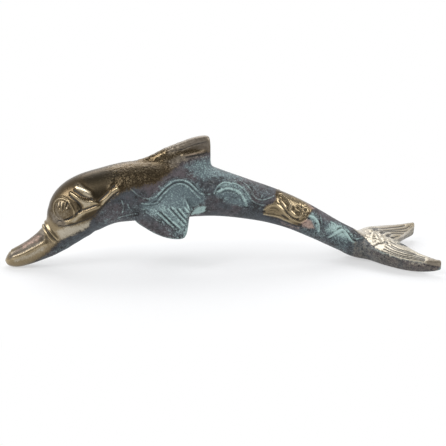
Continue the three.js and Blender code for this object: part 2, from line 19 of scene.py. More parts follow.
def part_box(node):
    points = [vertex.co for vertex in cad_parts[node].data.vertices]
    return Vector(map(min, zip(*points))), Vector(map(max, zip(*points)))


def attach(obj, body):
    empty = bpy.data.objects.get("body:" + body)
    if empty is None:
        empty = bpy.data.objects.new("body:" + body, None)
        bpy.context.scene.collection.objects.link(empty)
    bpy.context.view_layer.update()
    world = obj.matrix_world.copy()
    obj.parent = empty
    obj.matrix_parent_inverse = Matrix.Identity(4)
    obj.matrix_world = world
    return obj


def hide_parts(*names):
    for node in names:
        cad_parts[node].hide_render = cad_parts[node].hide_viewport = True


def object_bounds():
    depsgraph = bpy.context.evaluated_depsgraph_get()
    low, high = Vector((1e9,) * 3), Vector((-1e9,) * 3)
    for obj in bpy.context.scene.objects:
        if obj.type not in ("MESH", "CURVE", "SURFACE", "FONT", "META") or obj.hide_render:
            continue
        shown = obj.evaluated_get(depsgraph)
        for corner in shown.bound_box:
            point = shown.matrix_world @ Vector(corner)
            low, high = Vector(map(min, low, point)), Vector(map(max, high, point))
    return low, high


bl_info = {
    "name": "Bronze Dolphin",
    "version": (1, 0, 0),
    "blender": (4, 5, 0),
    "location": "3D View > Sidebar > Dolphin",
    "description": "Models an arched dolphin in cast bronze, with carved waves and a worn patina",
    "category": "Add Mesh",
}

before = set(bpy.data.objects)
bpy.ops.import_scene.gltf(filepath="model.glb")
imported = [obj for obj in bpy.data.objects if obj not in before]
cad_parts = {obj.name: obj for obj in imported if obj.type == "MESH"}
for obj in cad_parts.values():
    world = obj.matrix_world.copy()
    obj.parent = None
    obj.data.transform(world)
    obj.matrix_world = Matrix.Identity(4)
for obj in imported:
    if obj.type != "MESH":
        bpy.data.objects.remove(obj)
CAD_LOW, CAD_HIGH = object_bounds()
MM = 0.001
SIDES = {"left": -1, "right": 1}

# The photograph's camera, which the carving and the patina were measured through
PHOTO_SIDE = 446
CAMERA_AZIMUTH = math.radians(-4.5)
CAMERA_ELEVATION = math.radians(15)
CAMERA_DISTANCE = 0.6
FOCAL_PIXELS = 937.5
SENSOR_MM = 36
SEEN_FROM = 0.01
AIM = np.array([CAD_HIGH.x - 131.4 * MM, 0, 25.5 * MM])

# The spine as shares of body length and arch height, and the girth as shares of depth and width
BODY_SHAPE = [
    (0.0, 0.399, 0.555, 0.465),
    (0.009, 0.428, 0.586, 0.497),
    (0.027, 0.506, 0.692, 0.588),
    (0.048, 0.612, 0.839, 0.711),
    (0.078, 0.752, 0.956, 0.84),
    (0.118, 0.848, 0.968, 0.936),
    (0.181, 0.929, 0.942, 0.973),
    (0.246, 0.973, 0.979, 0.989),
    (0.327, 0.994, 1.0, 1.0),
    (0.408, 1.0, 0.969, 0.979),
    (0.489, 0.979, 0.885, 0.914),
    (0.569, 0.92, 0.749, 0.818),
    (0.65, 0.844, 0.654, 0.727),
    (0.731, 0.757, 0.586, 0.642),
    (0.812, 0.64, 0.534, 0.567),
    (0.892, 0.486, 0.487, 0.503),
    (0.957, 0.352, 0.455, 0.471),
    (1.0, 0.27, 0.445, 0.492),
]

# The beak from its tip: share of its length, rise of its underside, and girth in shares of the head's
BEAK_SHAPE = [
    (0.0, 0.55, 0.143, 0.195),
    (0.028, 0.29, 0.333, 0.437),
    (0.097, 0.055, 0.495, 0.655),
    (0.215, 0.0, 0.59, 0.793),
    (0.355, 0.1, 0.648, 0.851),
    (0.511, 0.272, 0.705, 0.885),
    (0.667, 0.467, 0.781, 0.92),
    (0.826, 0.685, 0.876, 0.966),
    (1.0, 1.0, 0.99, 1.0),
]

# The dorsal fin: share of its length, rise and thickness of its crest
DORSAL_SHAPE = [
    (0.0, -0.039, 0.476),
    (0.093, 0.078, 0.643),
    (0.187, 0.183, 0.786),
    (0.28, 0.333, 0.905),
    (0.373, 0.497, 0.976),
    (0.466, 0.627, 1.0),
    (0.56, 0.745, 1.0),
    (0.653, 0.869, 0.976),
    (0.756, 0.967, 0.905),
    (0.85, 1.0, 0.81),
    (0.892, 0.928, 0.667),
    (0.906, 0.693, 0.524),
    (0.906, 0.196, 0.476),
    (0.915, -0.183, 0.429),
    (0.96, -0.366, 0.381),
]

# The left pectoral fin from its shoulder to its tip: both edges from its rivet, and its thickness
PECTORAL_SHAPE = [
    ((-0.585, 0.192, -0.248), (0.043, 0.105, 0.361), 0.889),
    ((-0.468, 0.088, -0.324), (0.246, 0.033, 0.26), 0.972),
    ((-0.329, 0.001, -0.396), (0.408, -0.033, 0.142), 1.0),
    ((-0.173, -0.068, -0.476), (0.49, -0.079, 0.003), 0.972),
    ((-0.002, -0.126, -0.54), (0.5, -0.12, -0.142), 0.917),
    ((0.168, -0.172, -0.572), (0.48, -0.155, -0.275), 0.833),
    ((0.299, -0.201, -0.571), (0.46, -0.189, -0.384), 0.722),
    ((0.38, -0.218, -0.55), (0.44, -0.212, -0.475), 0.556),
]
PECTORAL_FACING = Vector((-0.12, -0.93, -0.35)).normalized()

# The flukes' root, and the blades: both edges, then edge, top and base as shares of the height
FLUKE_ROOT_SHAPE = [
    (0.0, 1.0, 1.0, 1.0),
    (0.117, 0.4, 1.0, 1.141),
    (0.253, 0.12, 0.894, 1.359),
    (0.389, 0.0, 0.776, 1.413),
    (0.506, 0.0, 0.647, 1.087),
    (0.593, 0.1, 0.529, 0.489),
]
LEFT_BLADE_SHAPE = [
    ((0.078, 0.072), (0.467, -0.096), 0.634, 1.0, 0.0),
    ((0.156, 0.275), (0.593, -0.02), 0.659, 0.927, 0.0),
    ((0.272, 0.488), (0.654, 0.114), 0.659, 0.864, 0.0),
    ((0.399, 0.665), (0.708, 0.252), 0.634, 0.807, 0.0),
    ((0.537, 0.809), (0.759, 0.41), 0.591, 0.733, 0.012),
    ((0.673, 0.904), (0.817, 0.577), 0.551, 0.671, 0.05),
    ((0.802, 0.962), (0.887, 0.74), 0.525, 0.635, 0.11),
    ((0.922, 0.99), (0.953, 0.875), 0.51, 0.605, 0.19),
    ((0.992, 1.0), (1.0, 0.937), 0.505, 0.585, 0.27),
]
RIGHT_BLADE_SHAPE = [
    ((0.078, 0.072), (0.467, -0.096), 0.634, 1.0, 0.0),
    ((0.15, 0.33), (0.6, 0.0), 0.68, 0.95, 0.0),
    ((0.27, 0.58), (0.69, 0.14), 0.68, 0.9, 0.0),
    ((0.41, 0.78), (0.77, 0.28), 0.66, 0.84, 0.0),
    ((0.565, 0.89), (0.84, 0.43), 0.62, 0.78, 0.012),
    ((0.72, 0.95), (0.91, 0.59), 0.6, 0.74, 0.06),
    ((0.87, 0.98), (0.985, 0.74), 0.6, 0.725, 0.12),
    ((1.01, 0.998), (1.055, 0.86), 0.62, 0.745, 0.18),
    ((1.09, 1.0), (1.1, 0.92), 0.64, 0.76, 0.25),
]

# Carved lines as the photograph shows them, in its pixels: kind of cut, then the points of each line
CARVING = {
    "thread": [
        [(131, 189), (137, 194.5), (142.5, 197.5), (149, 199), (153, 198), (156.7, 196), (161.7, 190.8),
         (166.7, 186), (172, 182.3), (178, 180.2), (184, 180.5), (190, 183.5), (194, 187), (198, 191),
         (203, 194), (210, 194.2)],
        [(141, 203.5), (148, 204), (156, 203), (160, 199), (164, 194), (169, 189), (175, 185), (182, 184),
         (188, 187), (192, 191), (196, 195), (200, 198.5)],
        [(214, 193.5), (217.5, 186.7), (223.3, 182.5), (230.8, 183.3), (238.3, 185), (245, 190.8), (249, 196),
         (251.7, 200), (257, 204), (266, 206)],
        [(240, 180.5), (246, 184.5), (250, 189), (252.5, 194), (256.5, 198.5), (262, 200), (268, 198.5),
         (274, 196)],
        [(280, 200.5), (283, 203.5), (285.3, 207), (287.3, 210.5), (290, 214.5), (293, 217), (297, 218.6)],
        [(303, 208.5), (304.5, 207.3), (306.5, 208), (307.3, 210), (306, 212), (304, 211.8), (303, 210)],
        [(331, 222), (335, 224), (336.3, 227.3), (338.5, 226.3), (342, 227), (346, 229.5), (349.5, 232.3),
         (352, 235.5), (354, 239)],
        [(355, 235.5), (356.3, 239), (360.8, 238.3), (366.7, 236.7)],
        [(320, 214.5), (321, 219), (321.5, 223.5)],
        [(316.5, 225), (316.3, 231)],
        [(121.5, 200.5), (123.3, 205), (123.5, 209), (122, 213)],
        [(127.5, 203.5), (129, 207.5), (131.5, 210.5)],
        [(118.5, 217.5), (124, 215.8), (130, 214.6), (137, 214.2)],
    ],
    "cord": [
        [(218, 192), (223, 189.3), (229, 188.8), (235, 190), (240, 193.3), (243.5, 198), (245.5, 202.5),
         (246.5, 205.5)],
        [(264, 209.5), (267, 207.3), (271, 205.2), (275, 205), (278.5, 206.5), (281.5, 209), (284, 212),
         (287, 215.5), (291, 219), (296, 221.7), (300, 222.6), (303.5, 221), (307, 219)],
        [(263.8, 214), (268, 214.8), (273, 215.5), (279, 217), (284, 219.3), (288.5, 221), (293, 223),
         (297, 224.3)],
        [(280.5, 194.5), (283, 197), (286, 199), (288.5, 202), (290.3, 205), (290.3, 208), (289.6, 210.5),
         (291.5, 213), (294.5, 215.8), (298, 216.8), (301, 215.5), (302.5, 212.5), (301.5, 209),
         (298.5, 207.5)],
        [(308.3, 216), (313, 217.3), (316.7, 220.8), (318.8, 225), (319.2, 229), (318.5, 231.5)],
        [(328.3, 237.5), (333, 235), (337, 233), (340.5, 230.5), (343, 229.6), (345.5, 232.3),
         (348, 236.3), (350.3, 239.8), (354, 242.5)],
    ],
    "swell": [
        [(77, 186.5), (83, 190), (90, 194)],
        [(282, 196), (287, 200), (290, 205)],
    ],
    "brow": [
        [(71, 193), (76, 196.6), (81, 200.6), (87, 202.6), (93, 202.3), (97, 204)],
        [(66, 223.5), (72, 221.5), (76, 218), (80, 215), (85, 212.5), (92, 210), (99, 207)],
        [(102.5, 204), (104, 200.5), (108, 197), (112, 192.5), (118, 188.5)],
        [(109.4, 190), (109.8, 185.5), (112, 182)],
        [(183, 156), (190, 154), (197, 152), (203, 150)],
    ],
    "groove": [
        [(74, 190), (78, 192.7), (82, 195.6), (88, 197.4), (92, 199)],
        [(70, 195.5), (73.5, 199), (77.5, 202), (80.5, 206), (81, 210), (79, 212)],
        [(57, 221.5), (65, 220.4), (70, 218.5), (74, 216), (78, 212.8), (82, 210.6), (88, 208.5),
         (93, 206.6), (97.5, 205)],
        [(58, 226), (64, 226.6), (69, 225.6), (73, 224.6), (78, 223), (84, 221), (90, 218.5), (96, 214),
         (101, 208.5), (106, 203.3), (111, 197.8), (118, 192)],
        [(99, 201), (104, 196.2), (108, 192), (111, 188.3), (115, 185)],
        [(185.7, 157.4), (193, 156.2), (201.4, 154.6), (207, 152.6)],
        [(60.2, 203), (60.5, 208)],
        [(63.9, 204), (63.8, 209.5)],
        [(67.3, 202.5), (66.5, 207.5)],
        [(295.3, 212), (298.7, 212.4)],
        [(167, 152.3), (176, 150.6), (184.3, 148.7), (192.9, 145.1), (207, 141.6)],
    ],
    "cut": [
        [(71, 191.2), (76, 194.3), (80, 197.3), (84, 199.3), (90, 200.4), (95, 200)],
        [(153, 190), (160, 184), (166, 181), (171, 179), (176.7, 177.6)],
        [(150, 203.8), (158, 201)],
        [(192, 182.5), (196, 187), (200, 191.5), (206, 194)],
        [(240, 206), (250, 208.2), (258, 210.5), (265, 211.8)],
        [(247, 208), (256, 211), (264, 213.5)],
        [(248, 201), (255, 204), (262, 206.5)],
        [(267, 211.5), (273, 210), (279, 213), (285, 217.5)],
        [(292, 198), (299, 201), (306, 206)],
        [(300.8, 204.5), (301.2, 208), (301, 211.5)],
        [(286, 211), (289, 215.5), (293, 218.6), (298, 220)],
        [(324, 231), (327, 236), (331, 238.7), (338, 239)],
        [(306, 227), (312, 232), (318, 236)],
        [(43.4, 236), (44.2, 239)],
        [(46, 236), (46.9, 238.6)],
    ],
    "lip": [
        [(14, 257.3), (22, 254.8), (30, 251), (37.5, 247), (45, 244.6)],
    ],
    "mouth": [
        [(6.5, 256.5), (10, 255.4), (15.3, 253.3), (23, 249.6), (29.5, 246.4), (36.4, 243.4), (40, 241.8)],
    ],
    "feather": [
        [(145.8, 212), (153, 217), (160, 222)],
        [(153.8, 209.5), (163.3, 218), (170, 224.5), (176.7, 230)],
        [(159, 213.5), (166, 220), (173.3, 227)],
        [(163, 212), (172, 221), (181, 229)],
        [(167.5, 208.3), (176, 217), (184, 225.8)],
        [(172.5, 207.5), (179, 214.5), (186, 222.3)],
        [(179.2, 208.6), (183, 213.5), (187.6, 219)],
        [(184.5, 207.5), (188.5, 212.5)],
    ],
}

# Half width and height of each cut in millimetres, then how far off the grooves beside it lie, and their
# half width and depth
CUTS = {
    "thread": (0.65, 0.38, 1.05, 0.6, 0.36),
    "cord": (1.0, 0.5, 1.5, 0.65, 0.42),
    "swell": (3.4, 0.7, 0, 0, 0),
    "brow": (1.7, 0.5, 0, 0, 0),
    "groove": (0.85, -0.65, 0, 0, 0),
    "cut": (0.6, -0.4, 0, 0, 0),
    "lip": (3.2, 0.6, 0, 0, 0),
    "mouth": (2.7, -0.28, 0, 0, 0),
    "feather": (0.75, 0.32, 1.15, 0.6, 0.36),
}

# Dark lines combed into the tops of the left fluke, -1, and the right one, 1, and the right one's pits,
# in the same pixels
FLUKE_LINES = {
    -1: [
        [(392, 245.3), (398, 248.2), (404, 250.2), (410, 251.8), (416, 253.8)],
        [(388, 244.5), (394, 248.3), (400, 250.4), (406, 252.3), (412, 253.6), (418, 255.2), (425, 257.2)],
        [(386, 246.5), (392, 250), (398, 252.2), (405, 254.2), (412, 255.3), (418, 256.9), (425, 258.8)],
        [(384, 249), (390, 251.4), (396, 253.6), (404, 255.9), (411, 256.9), (418, 258.4), (425, 260)],
        [(382, 251), (389, 253), (396, 255.2), (403, 257.2), (411, 258.5), (418, 259.8), (424, 261)],
        [(373, 246.5), (375, 245.3), (378, 243.6), (382, 243.3), (385, 241.4), (388, 243)],
        [(391, 241.5), (396, 244)],
    ],
    1: [
        [(369, 228), (376, 227.7), (382, 228.3), (390, 227.5), (398, 226.7), (405, 225.3)],
        [(377, 229.7), (384, 230.3), (391, 229.8), (399, 229.2), (406, 228), (410, 225.6)],
        [(383, 232), (388, 231.2), (394, 231), (402, 231.3), (408, 230.3), (411.5, 227)],
        [(389, 234.6), (393, 233), (399, 233.2), (405, 233.6), (409.5, 231.8)],
        [(393, 238), (396, 236.4), (401, 236.2), (406, 235.4)],
    ],
}
FLUKE_PITS = [(375.3, 229.2), (382, 232.4), (388.3, 235.2), (392.8, 238)]
# How far a line and a pit reach in pixels, and how much stronger a pit is. Both show from a place along X
# and where the fluke looks up
FLUKE_LINE_REACH = 0.95
FLUKE_PIT_REACH = (3.8, 2.1)
FLUKE_PIT_STRENGTH = 2
FLUKE_TOPS_FROM = 74 * MM
FLUKE_TOPS_SLOPE = 0.3
FLUKE_LINE_DEPTH = 0.7 * MM

# Outlines that several finishes share, in the photograph's pixels
NEAR_FLUKE_SIDE = [(352, 241), (364, 239), (374, 247), (384, 252), (396, 257), (410, 261), (424, 263),
    (438, 266), (442, 272), (420, 276), (396, 273), (374, 269), (352, 262)]
FAR_FLUKE_SIDE = [(391, 242), (404, 236.5), (413, 226), (417, 228), (414, 237), (398, 245)]
WAVE_CURL = [(279.5, 194), (284, 196.5), (289, 200.5), (292, 205.5), (291.5, 210), (295, 214.5),
    (298.5, 215.5), (302, 214), (302.5, 216), (299, 218), (294.5, 217.3), (290, 213.5), (288.5, 209.5),
    (289, 205.5), (285.5, 200.5), (281, 197)]
FIN_SIDE = [(166, 160), (178, 155), (204, 152), (209, 158), (200, 162), (184, 165), (170, 168)]

# Patches of finish, some of them painted highlights and painted shade, in the photograph's pixels: strength,
# softness in pixels, then the outline
PATCHES = {
    "polish": [
        (1.0, 4.0, [(-8, 250), (-8, 276), (24, 268), (38, 260), (45, 255), (56, 245), (61, 240.5),
            (70, 236.5), (80, 231.5), (89, 227), (90, 221), (95, 217), (100, 210), (105.5, 204.5),
            (111.5, 197.5), (119, 191), (119, 150), (-8, 180)]),
        (1.0, 6.0, [(112, 198), (127, 190), (141, 186.5), (150, 185), (158, 182), (168, 174), (180, 163),
            (192, 158), (204, 154.5), (216, 150), (225, 130), (210, 120), (100, 120)]),
        (1.0, 2.5, [(263.5, 214.5), (263.5, 209), (267, 205.5), (273, 203), (276, 199), (275, 194),
            (277, 188), (300, 196), (310, 204), (313, 210), (308, 217), (306, 222), (300, 226),
            (292, 224.5), (280, 218.5)]),
        (1.0, 1.5, [(354, 229), (368, 222), (385, 216), (412, 212), (420, 222), (413.5, 228), (409, 233),
            (404, 236.8), (398, 239.3), (393, 240.5), (397, 244), (404, 246), (420, 250), (432, 253),
            (450, 256), (450, 268), (434, 266), (420, 262), (410, 260.6), (400, 258.2), (390, 255),
            (380, 250.5), (372, 245), (365, 238)]),
        (0.45, 4.0, NEAR_FLUKE_SIDE),
        (0.6, 2.0, [(391, 241.5), (398, 238.5), (404, 236), (409.5, 231), (413, 225.5), (417, 228),
            (414, 236), (404, 243), (396, 244.5)]),
    ],
    "bright": [
        (0.72, 4.0, [(-8, 250), (-8, 276), (24, 268), (38, 260), (45, 255), (56, 245), (61, 240.5),
            (70, 236.5), (80, 231.5), (89, 227), (89, 221.5), (80, 221.5), (70, 226), (56, 224), (47, 214),
            (30, 230)]),
        # The wave's curl worn bright, with a painted highlight on it
        (1.0, 1.0, WAVE_CURL),
        (0.35, 5.0, [(52, 200), (58, 193), (68, 192), (78, 198), (97, 203), (104, 199), (118, 188),
            (118, 192), (104, 206), (94, 213), (82, 221), (70, 227), (56, 225), (50, 214)]),
        # Painted highlights: the glint on the brow, the band under it, the glints under the jaw line and the
        # streak behind the eye
        (1.0, 2.0, [(75.5, 188.5), (76.5, 186), (80, 185.3), (84.5, 188.5), (90, 191.5), (91.5, 196),
            (89, 198), (84.5, 195.5), (80, 192)]),
        (0.9, 1.5, [(71, 192.5), (77, 195.5), (84, 200.3), (92, 200.8), (98, 204), (90, 207), (84, 208.5),
            (81.5, 204), (76, 199.5), (71, 195.5)]),
        (0.9, 1.5, [(70, 222.5), (74, 218.5), (80, 213.5), (85.5, 211.5), (85, 215), (79, 219), (75, 223)]),
        (0.8, 1.5, [(102, 205), (103, 199.5), (108, 195.5), (112, 191), (118, 187), (119.5, 189.5),
            (113, 194.5), (107, 200.5)]),
        (0.35, 3.0, [(158, 149), (170, 146), (182, 152), (192, 150), (206, 146), (208, 152), (190, 157),
            (176, 160), (160, 166), (150, 166)]),
        (0.35, 4.0, FIN_SIDE),
        (0.45, 2.0, [(183, 155.5), (192, 152.5), (203, 149.3), (204, 151.5), (194, 155.3), (184, 157.5)]),
        (0.7, 3.0, [(263, 208), (274, 200), (280, 192), (300, 196), (312, 206), (306, 222), (290, 224),
            (263, 216)]),
        (1.0, 4.0, [(352, 229), (368, 222), (385, 216), (412, 212), (424, 226), (412, 240), (450, 252),
            (450, 270), (425, 264), (400, 258), (382, 252), (374, 245), (365, 237)]),
    ],
    "verdigris": [
        (0.8, 6.0, [(183, 166), (196, 160), (211, 156), (216, 166), (226, 170), (240, 175), (246, 180),
            (232, 180), (215, 178), (204, 181), (190, 174)]),
        (0.95, 5.0, [(157, 192), (164, 183), (174, 178.5), (188, 179), (200, 186), (205, 194), (204, 204),
            (194, 208), (188, 216), (186, 230), (176, 230), (160, 220), (144, 211), (138, 205),
            (146, 202)]),
        (1.0, 1.5, [(191, 215), (193.5, 210), (199.5, 206), (205.5, 206), (205, 211.5), (198, 214)]),
        (0.6, 6.0, [(164, 230), (188, 218), (189, 236), (176, 240)]),
        (0.2, 5.0, [(198, 176), (216, 174), (220, 192), (204, 195)]),
        (0.5, 2.5, FAR_FLUKE_SIDE),
        (0.85, 3.5, [(213, 194), (216, 186), (224, 180), (234, 181), (244, 186), (251, 195), (252, 203),
            (246, 207), (238, 206), (230, 204), (220, 198)]),
        (0.45, 8.0, [(236, 174), (262, 182), (276, 194), (262, 200), (248, 190)]),
        (1.0, 3.0, [(307, 212), (314, 212), (318, 217), (321, 226), (320, 234), (316, 233), (314, 224),
            (308, 219)]),
        (1.0, 5.0, [(324, 226), (332, 221), (342, 225), (350, 231), (354, 239), (346, 242), (336, 240),
            (326, 236)]),
        (0.5, 10.0, [(300, 228), (322, 216), (345, 226), (366, 240), (384, 256), (400, 268), (370, 264),
            (330, 250), (290, 238)]),
        (0.3, 6.0, [(380, 252), (400, 260), (430, 268), (446, 274), (396, 274), (366, 262)]),
        (0.35, 6.0, [(40, 256), (52, 250), (84, 236), (104, 226), (104, 232), (60, 256), (40, 264)]),
        (0.35, 8.0, [(100, 212), (134, 206), (140, 216), (120, 226), (100, 228)]),
    ],
    "copper": [
        (0.8, 3.0, [(300, 223), (306, 218.5), (311.5, 220), (315, 228.5), (309, 229), (302, 227)]),
        (0.6, 3.0, [(276, 219), (288, 223.5), (300, 227), (299, 230), (284, 226)]),
        (0.7, 2.5, [(305, 203), (311, 204.5), (315, 209), (310, 209)]),
        (0.55, 4.0, [(24, 242), (36, 234), (42, 235), (40, 241), (26, 248), (12, 255)]),
        (0.45, 2.0, [(183, 155), (204, 149.5), (205, 152.5), (186, 158)]),
        (0.3, 6.0, [(198, 181), (214, 177), (220, 182), (212, 191), (203, 189)]),
    ],
    "rub_and_highlight": [
        (1.0, 2.5, [(353, 230), (362, 225), (378, 226), (392, 233), (401, 243), (424, 251), (430, 255),
            (426, 266), (412, 264), (398, 259), (384, 254), (372, 247), (364, 239)]),
        (0.4, 6.0, [(422, 250), (450, 252), (450, 268), (424, 264)]),
        (0.55, 2.5, [(376, 227), (396, 225), (414, 220), (418, 228), (410, 236), (398, 240), (384, 236)]),
        # Pale metal on the lower cheek that stands for its reflection of the table: a painted reflection
        (0.9, 5.0, [(56, 231), (66, 226), (78, 225), (90, 221), (91, 226.5), (80, 232), (61, 240)]),
        # Painted highlight along the lower lip
        (0.65, 3.0, [(14, 259), (30, 253), (42, 246), (49, 245), (44, 251), (30, 258), (14, 263)]),
        # Painted highlights: the glint on the brow, the band under it, the glints under the jaw line and the
        # streak behind the eye
        (0.6, 2.5, [(75, 188.5), (76, 184.5), (80, 184), (85, 188), (91.5, 191.5), (92.5, 198), (86, 197),
            (80, 192.5)]),
        (0.5, 1.5, [(76, 196), (84, 201), (92, 201.5), (90, 206.5), (84, 208), (81, 203)]),
        (0.6, 1.5, [(71, 222), (74, 219), (80, 214), (84, 213), (79, 218), (74, 222.5)]),
        (0.6, 1.5, [(102.5, 204), (104, 200), (112, 192), (118, 188), (113, 194), (106, 201)]),
        # The wave's curl and swell rubbed pale, with a painted highlight on them
        (0.4, 1.0, WAVE_CURL),
        (0.35, 2.0, [(278, 200), (281, 199.5), (286, 204), (288, 209), (285, 209), (281, 205)]),
        (0.3, 4.0, FIN_SIDE),
        # Painted sheen on the eye
        (0.3, 5.0, [(50, 222), (49, 212), (53, 201), (62, 197), (70, 201), (74, 208), (72, 217),
            (62, 222)]),
        # Painted highlight along the edge of the forehead
        (0.25, 5.0, [(47, 208), (50, 197), (58, 185), (70, 176.5), (84, 171), (84, 177), (70, 184),
            (60, 193), (54, 204), (51, 214)]),
        (0.3, 2.0, [(263, 213.2), (272, 213.8), (281, 216.6), (292, 222.5), (301, 224), (300, 226.5),
            (286, 223.5), (272, 217.4), (263, 216.4)]),
    ],
    "dull": [
        (0.7, 6.0, [(164, 147), (182, 137), (200, 132), (212, 132), (212, 152), (203, 151), (192, 149),
            (180, 152), (168, 156)]),
        (0.75, 4.0, [(168, 160), (178, 155), (204, 152), (209, 158), (200, 162), (184, 165), (170, 168)]),
        (0.3, 5.0, [(160, 158), (176, 152), (184, 158), (176, 166), (164, 170)]),
        (1.0, 5.0, [(424, 248), (452, 252), (452, 274), (426, 272)]),
        (0.9, 4.0, NEAR_FLUKE_SIDE),
        (0.8, 2.0, FAR_FLUKE_SIDE),
        (1.0, 2.5, [(8, 256), (16, 249), (27, 240), (36, 232), (43, 229), (45, 239), (38, 245), (28, 250),
            (10, 258.5)]),
        (0.6, 3.0, [(50, 212), (57, 214), (64, 219), (68, 226), (60, 228), (52, 222)]),
    ],
    "wax_and_shade": [
        # Painted shade: the dark room seen in the head behind its highlight and along the back
        (0.85, 4.0, [(82, 178), (92, 173), (104, 170), (118, 170), (124, 176), (112, 184), (106, 192),
            (100, 199), (93, 199), (92, 191), (86, 187)]),
        (0.55, 5.0, [(108, 170), (140, 163), (168, 162), (160, 178), (140, 186), (120, 188)]),
        # Darker by the eye and under the jaw line
        (0.7, 1.5, [(72, 198), (76, 199), (81, 204), (82.5, 209), (79, 212), (76.5, 210), (76.5, 204)]),
        (0.6, 2.5, [(82, 215), (92, 211), (99, 207), (101, 208), (92, 217), (84, 220.5), (80, 219)]),
        # Painted shade along the mouth, whose face looks down
        (0.65, 2.5, [(8, 257), (17, 248.5), (28, 240), (38, 233), (43, 233), (45, 240.5), (34, 247.3),
            (22, 252.6), (10, 258.3)]),
        # Painted shade on the side of the forehead
        (0.3, 4.0, [(42, 222), (44, 206), (50, 194), (56, 186), (60, 192), (55, 200), (52, 210),
            (49, 220)]),
        # Darker in the hollows of the wave
        (0.35, 3.0, [(265, 210), (272, 207), (280, 209), (283, 213), (278, 215.5), (266, 213)]),
        (0.5, 2.0, [(293, 200), (298, 201), (301, 206), (301, 212), (298, 214), (295, 211), (292, 208)]),
        (0.6, 1.5, [(295, 211), (299, 211), (299.5, 213.5), (295.5, 213.5)]),
    ],
    "dust": [
        (1.0, 2.0, [(190.5, 216), (193, 209.5), (199.5, 205.3), (206.3, 205.3), (206, 212), (198, 214.8)]),
        (0.5, 2.5, FAR_FLUKE_SIDE),
        (0.6, 3.0, [(307, 213), (314, 213), (319, 220), (320, 230), (317, 231), (313, 222)]),
        (0.9, 4.0, [(326, 230), (333, 223), (343, 226), (348, 231), (354, 240), (346, 238), (336, 236)]),
        (0.35, 5.0, [(216, 190), (222, 182), (234, 181), (246, 190), (250, 202), (240, 196), (228, 190)]),
        (0.25, 5.0, [(146, 208), (164, 203), (190, 206), (189, 226), (184, 236), (164, 226)]),
        (0.2, 6.0, [(190, 166), (206, 160), (216, 168), (228, 172), (222, 176), (200, 172)]),
    ],
    "pitted": [
        (1.0, 8.0, [(106, 150), (108, 180), (118, 192), (140, 190), (160, 184), (180, 170), (188, 160),
            (186, 150), (180, 140), (150, 140)]),
        (0.6, 6.0, [(360, 226), (374, 226), (392, 240), (384, 248), (372, 242)]),
        (0.7, 3.0, [(424, 250), (450, 252), (450, 272), (430, 270)]),
    ],
    "lumpy": [
        (1.0, 3.0, [(368, 230), (376, 230), (386, 237), (391, 241), (386, 243), (376, 243.5), (370, 238)]),
    ],
}


def srgb(red, green, blue):
    """A colour given in steps from 0 to 255, in the linear values that Blender mixes."""
    steps = np.array([red, green, blue]) / 255
    return tuple(np.where(steps <= 0.04045, steps / 12.92, ((steps + 0.055) / 1.055) ** 2.4))


def colour(name, description, steps):
    return FloatVectorProperty(name=name, description=description, subtype="COLOR", default=srgb(*steps),
                               min=0, max=1)


def length(name, description, millimetres):
    return FloatProperty(name=name, description=description, unit="LENGTH", default=millimetres * MM)


class DolphinSizes(bpy.types.PropertyGroup):
    """The sizes of the clay original."""

    body_length: length("Body length", "Along X, from the beak's root to the flukes", 185.8)
    arch_height: length("Arch height", "Highest point of the spine over the table", 48.6)
    body_depth: length("Body depth", "Greatest depth square to the spine", 38.2)
    body_width: length("Body width", "Greatest width across", 37.4)
    beak_length: length("Beak length", "Along X", 32.1)
    rest_cut: length("Beak flat", "Depth of the flat filed under the beak", 0.3)
    dorsal_length: length("Dorsal fin length", "Along its root", 53.6)
    dorsal_height: length("Dorsal fin height", "Over the back", 15.3)
    dorsal_thickness: length("Dorsal crest thickness", "Across the crest", 8.4)
    dorsal_root: length("Dorsal root thickness", "Across, deep in the body", 26.0)
    dorsal_sink: length("Dorsal root depth", "Below the back", 17.0)
    pectoral_length: length("Pectoral fin length", "From shoulder to tip", 34.6)
    pectoral_thickness: length("Pectoral fin thickness", "Thickest place", 7.2)
    fluke_length: length("Fluke length", "Along X, from the tail stock to the tips", 51.4)
    fluke_half_span: length("Fluke half span", "From the middle plane to a tip", 41.8)
    fluke_height: length("Fluke height", "Top of the blades at their root", 16.4)
    fluke_cut: length("Fluke flats", "Depth of the flats filed under the flukes", 0.6)
    clay_grain: length("Clay grain", "Side of the squares that the clay is made of", 0.4)


class DolphinColours(bpy.types.PropertyGroup):
    """The colours of metal and patina."""

    # Also the colour of the highlights painted on the head and on the wave's curl
    gold: colour("Gold bronze", "Metal where hands keep it bright", (164, 148, 119))
    umber: colour("Umber", "Metal under old wax", (84, 71, 52))
    # Also the colour of the shade painted on the head, the back, the forehead and the mouth
    wax_and_shade: colour("Wax And Shade", "Metal under thick dark wax", (52, 45, 33))
    dull: colour("Dull bronze", "Metal gone grey in the air", (122, 114, 104))
    # Rubbed flukes, and also the colour of the highlights painted on the head, lip and wave and of the
    # reflection painted on the cheek
    pale: colour("Pale brass", "Metal rubbed bare", (182, 173, 155))
    violet: colour("Violet brown", "The dark patina of the flanks", (82, 74, 78))
    slate: colour("Slate", "Its bluer places", (66, 71, 77))
    black: colour("Black", "Dirt in the carved grooves", (34, 33, 33))
    verdigris: colour("Verdigris", "Blue-green patina", (92, 107, 112))
    verdigris_light: colour("Light verdigris", "Its powdery crust", (166, 191, 188))
    copper: colour("Copper", "Bare pinkish spots", (188, 160, 146))


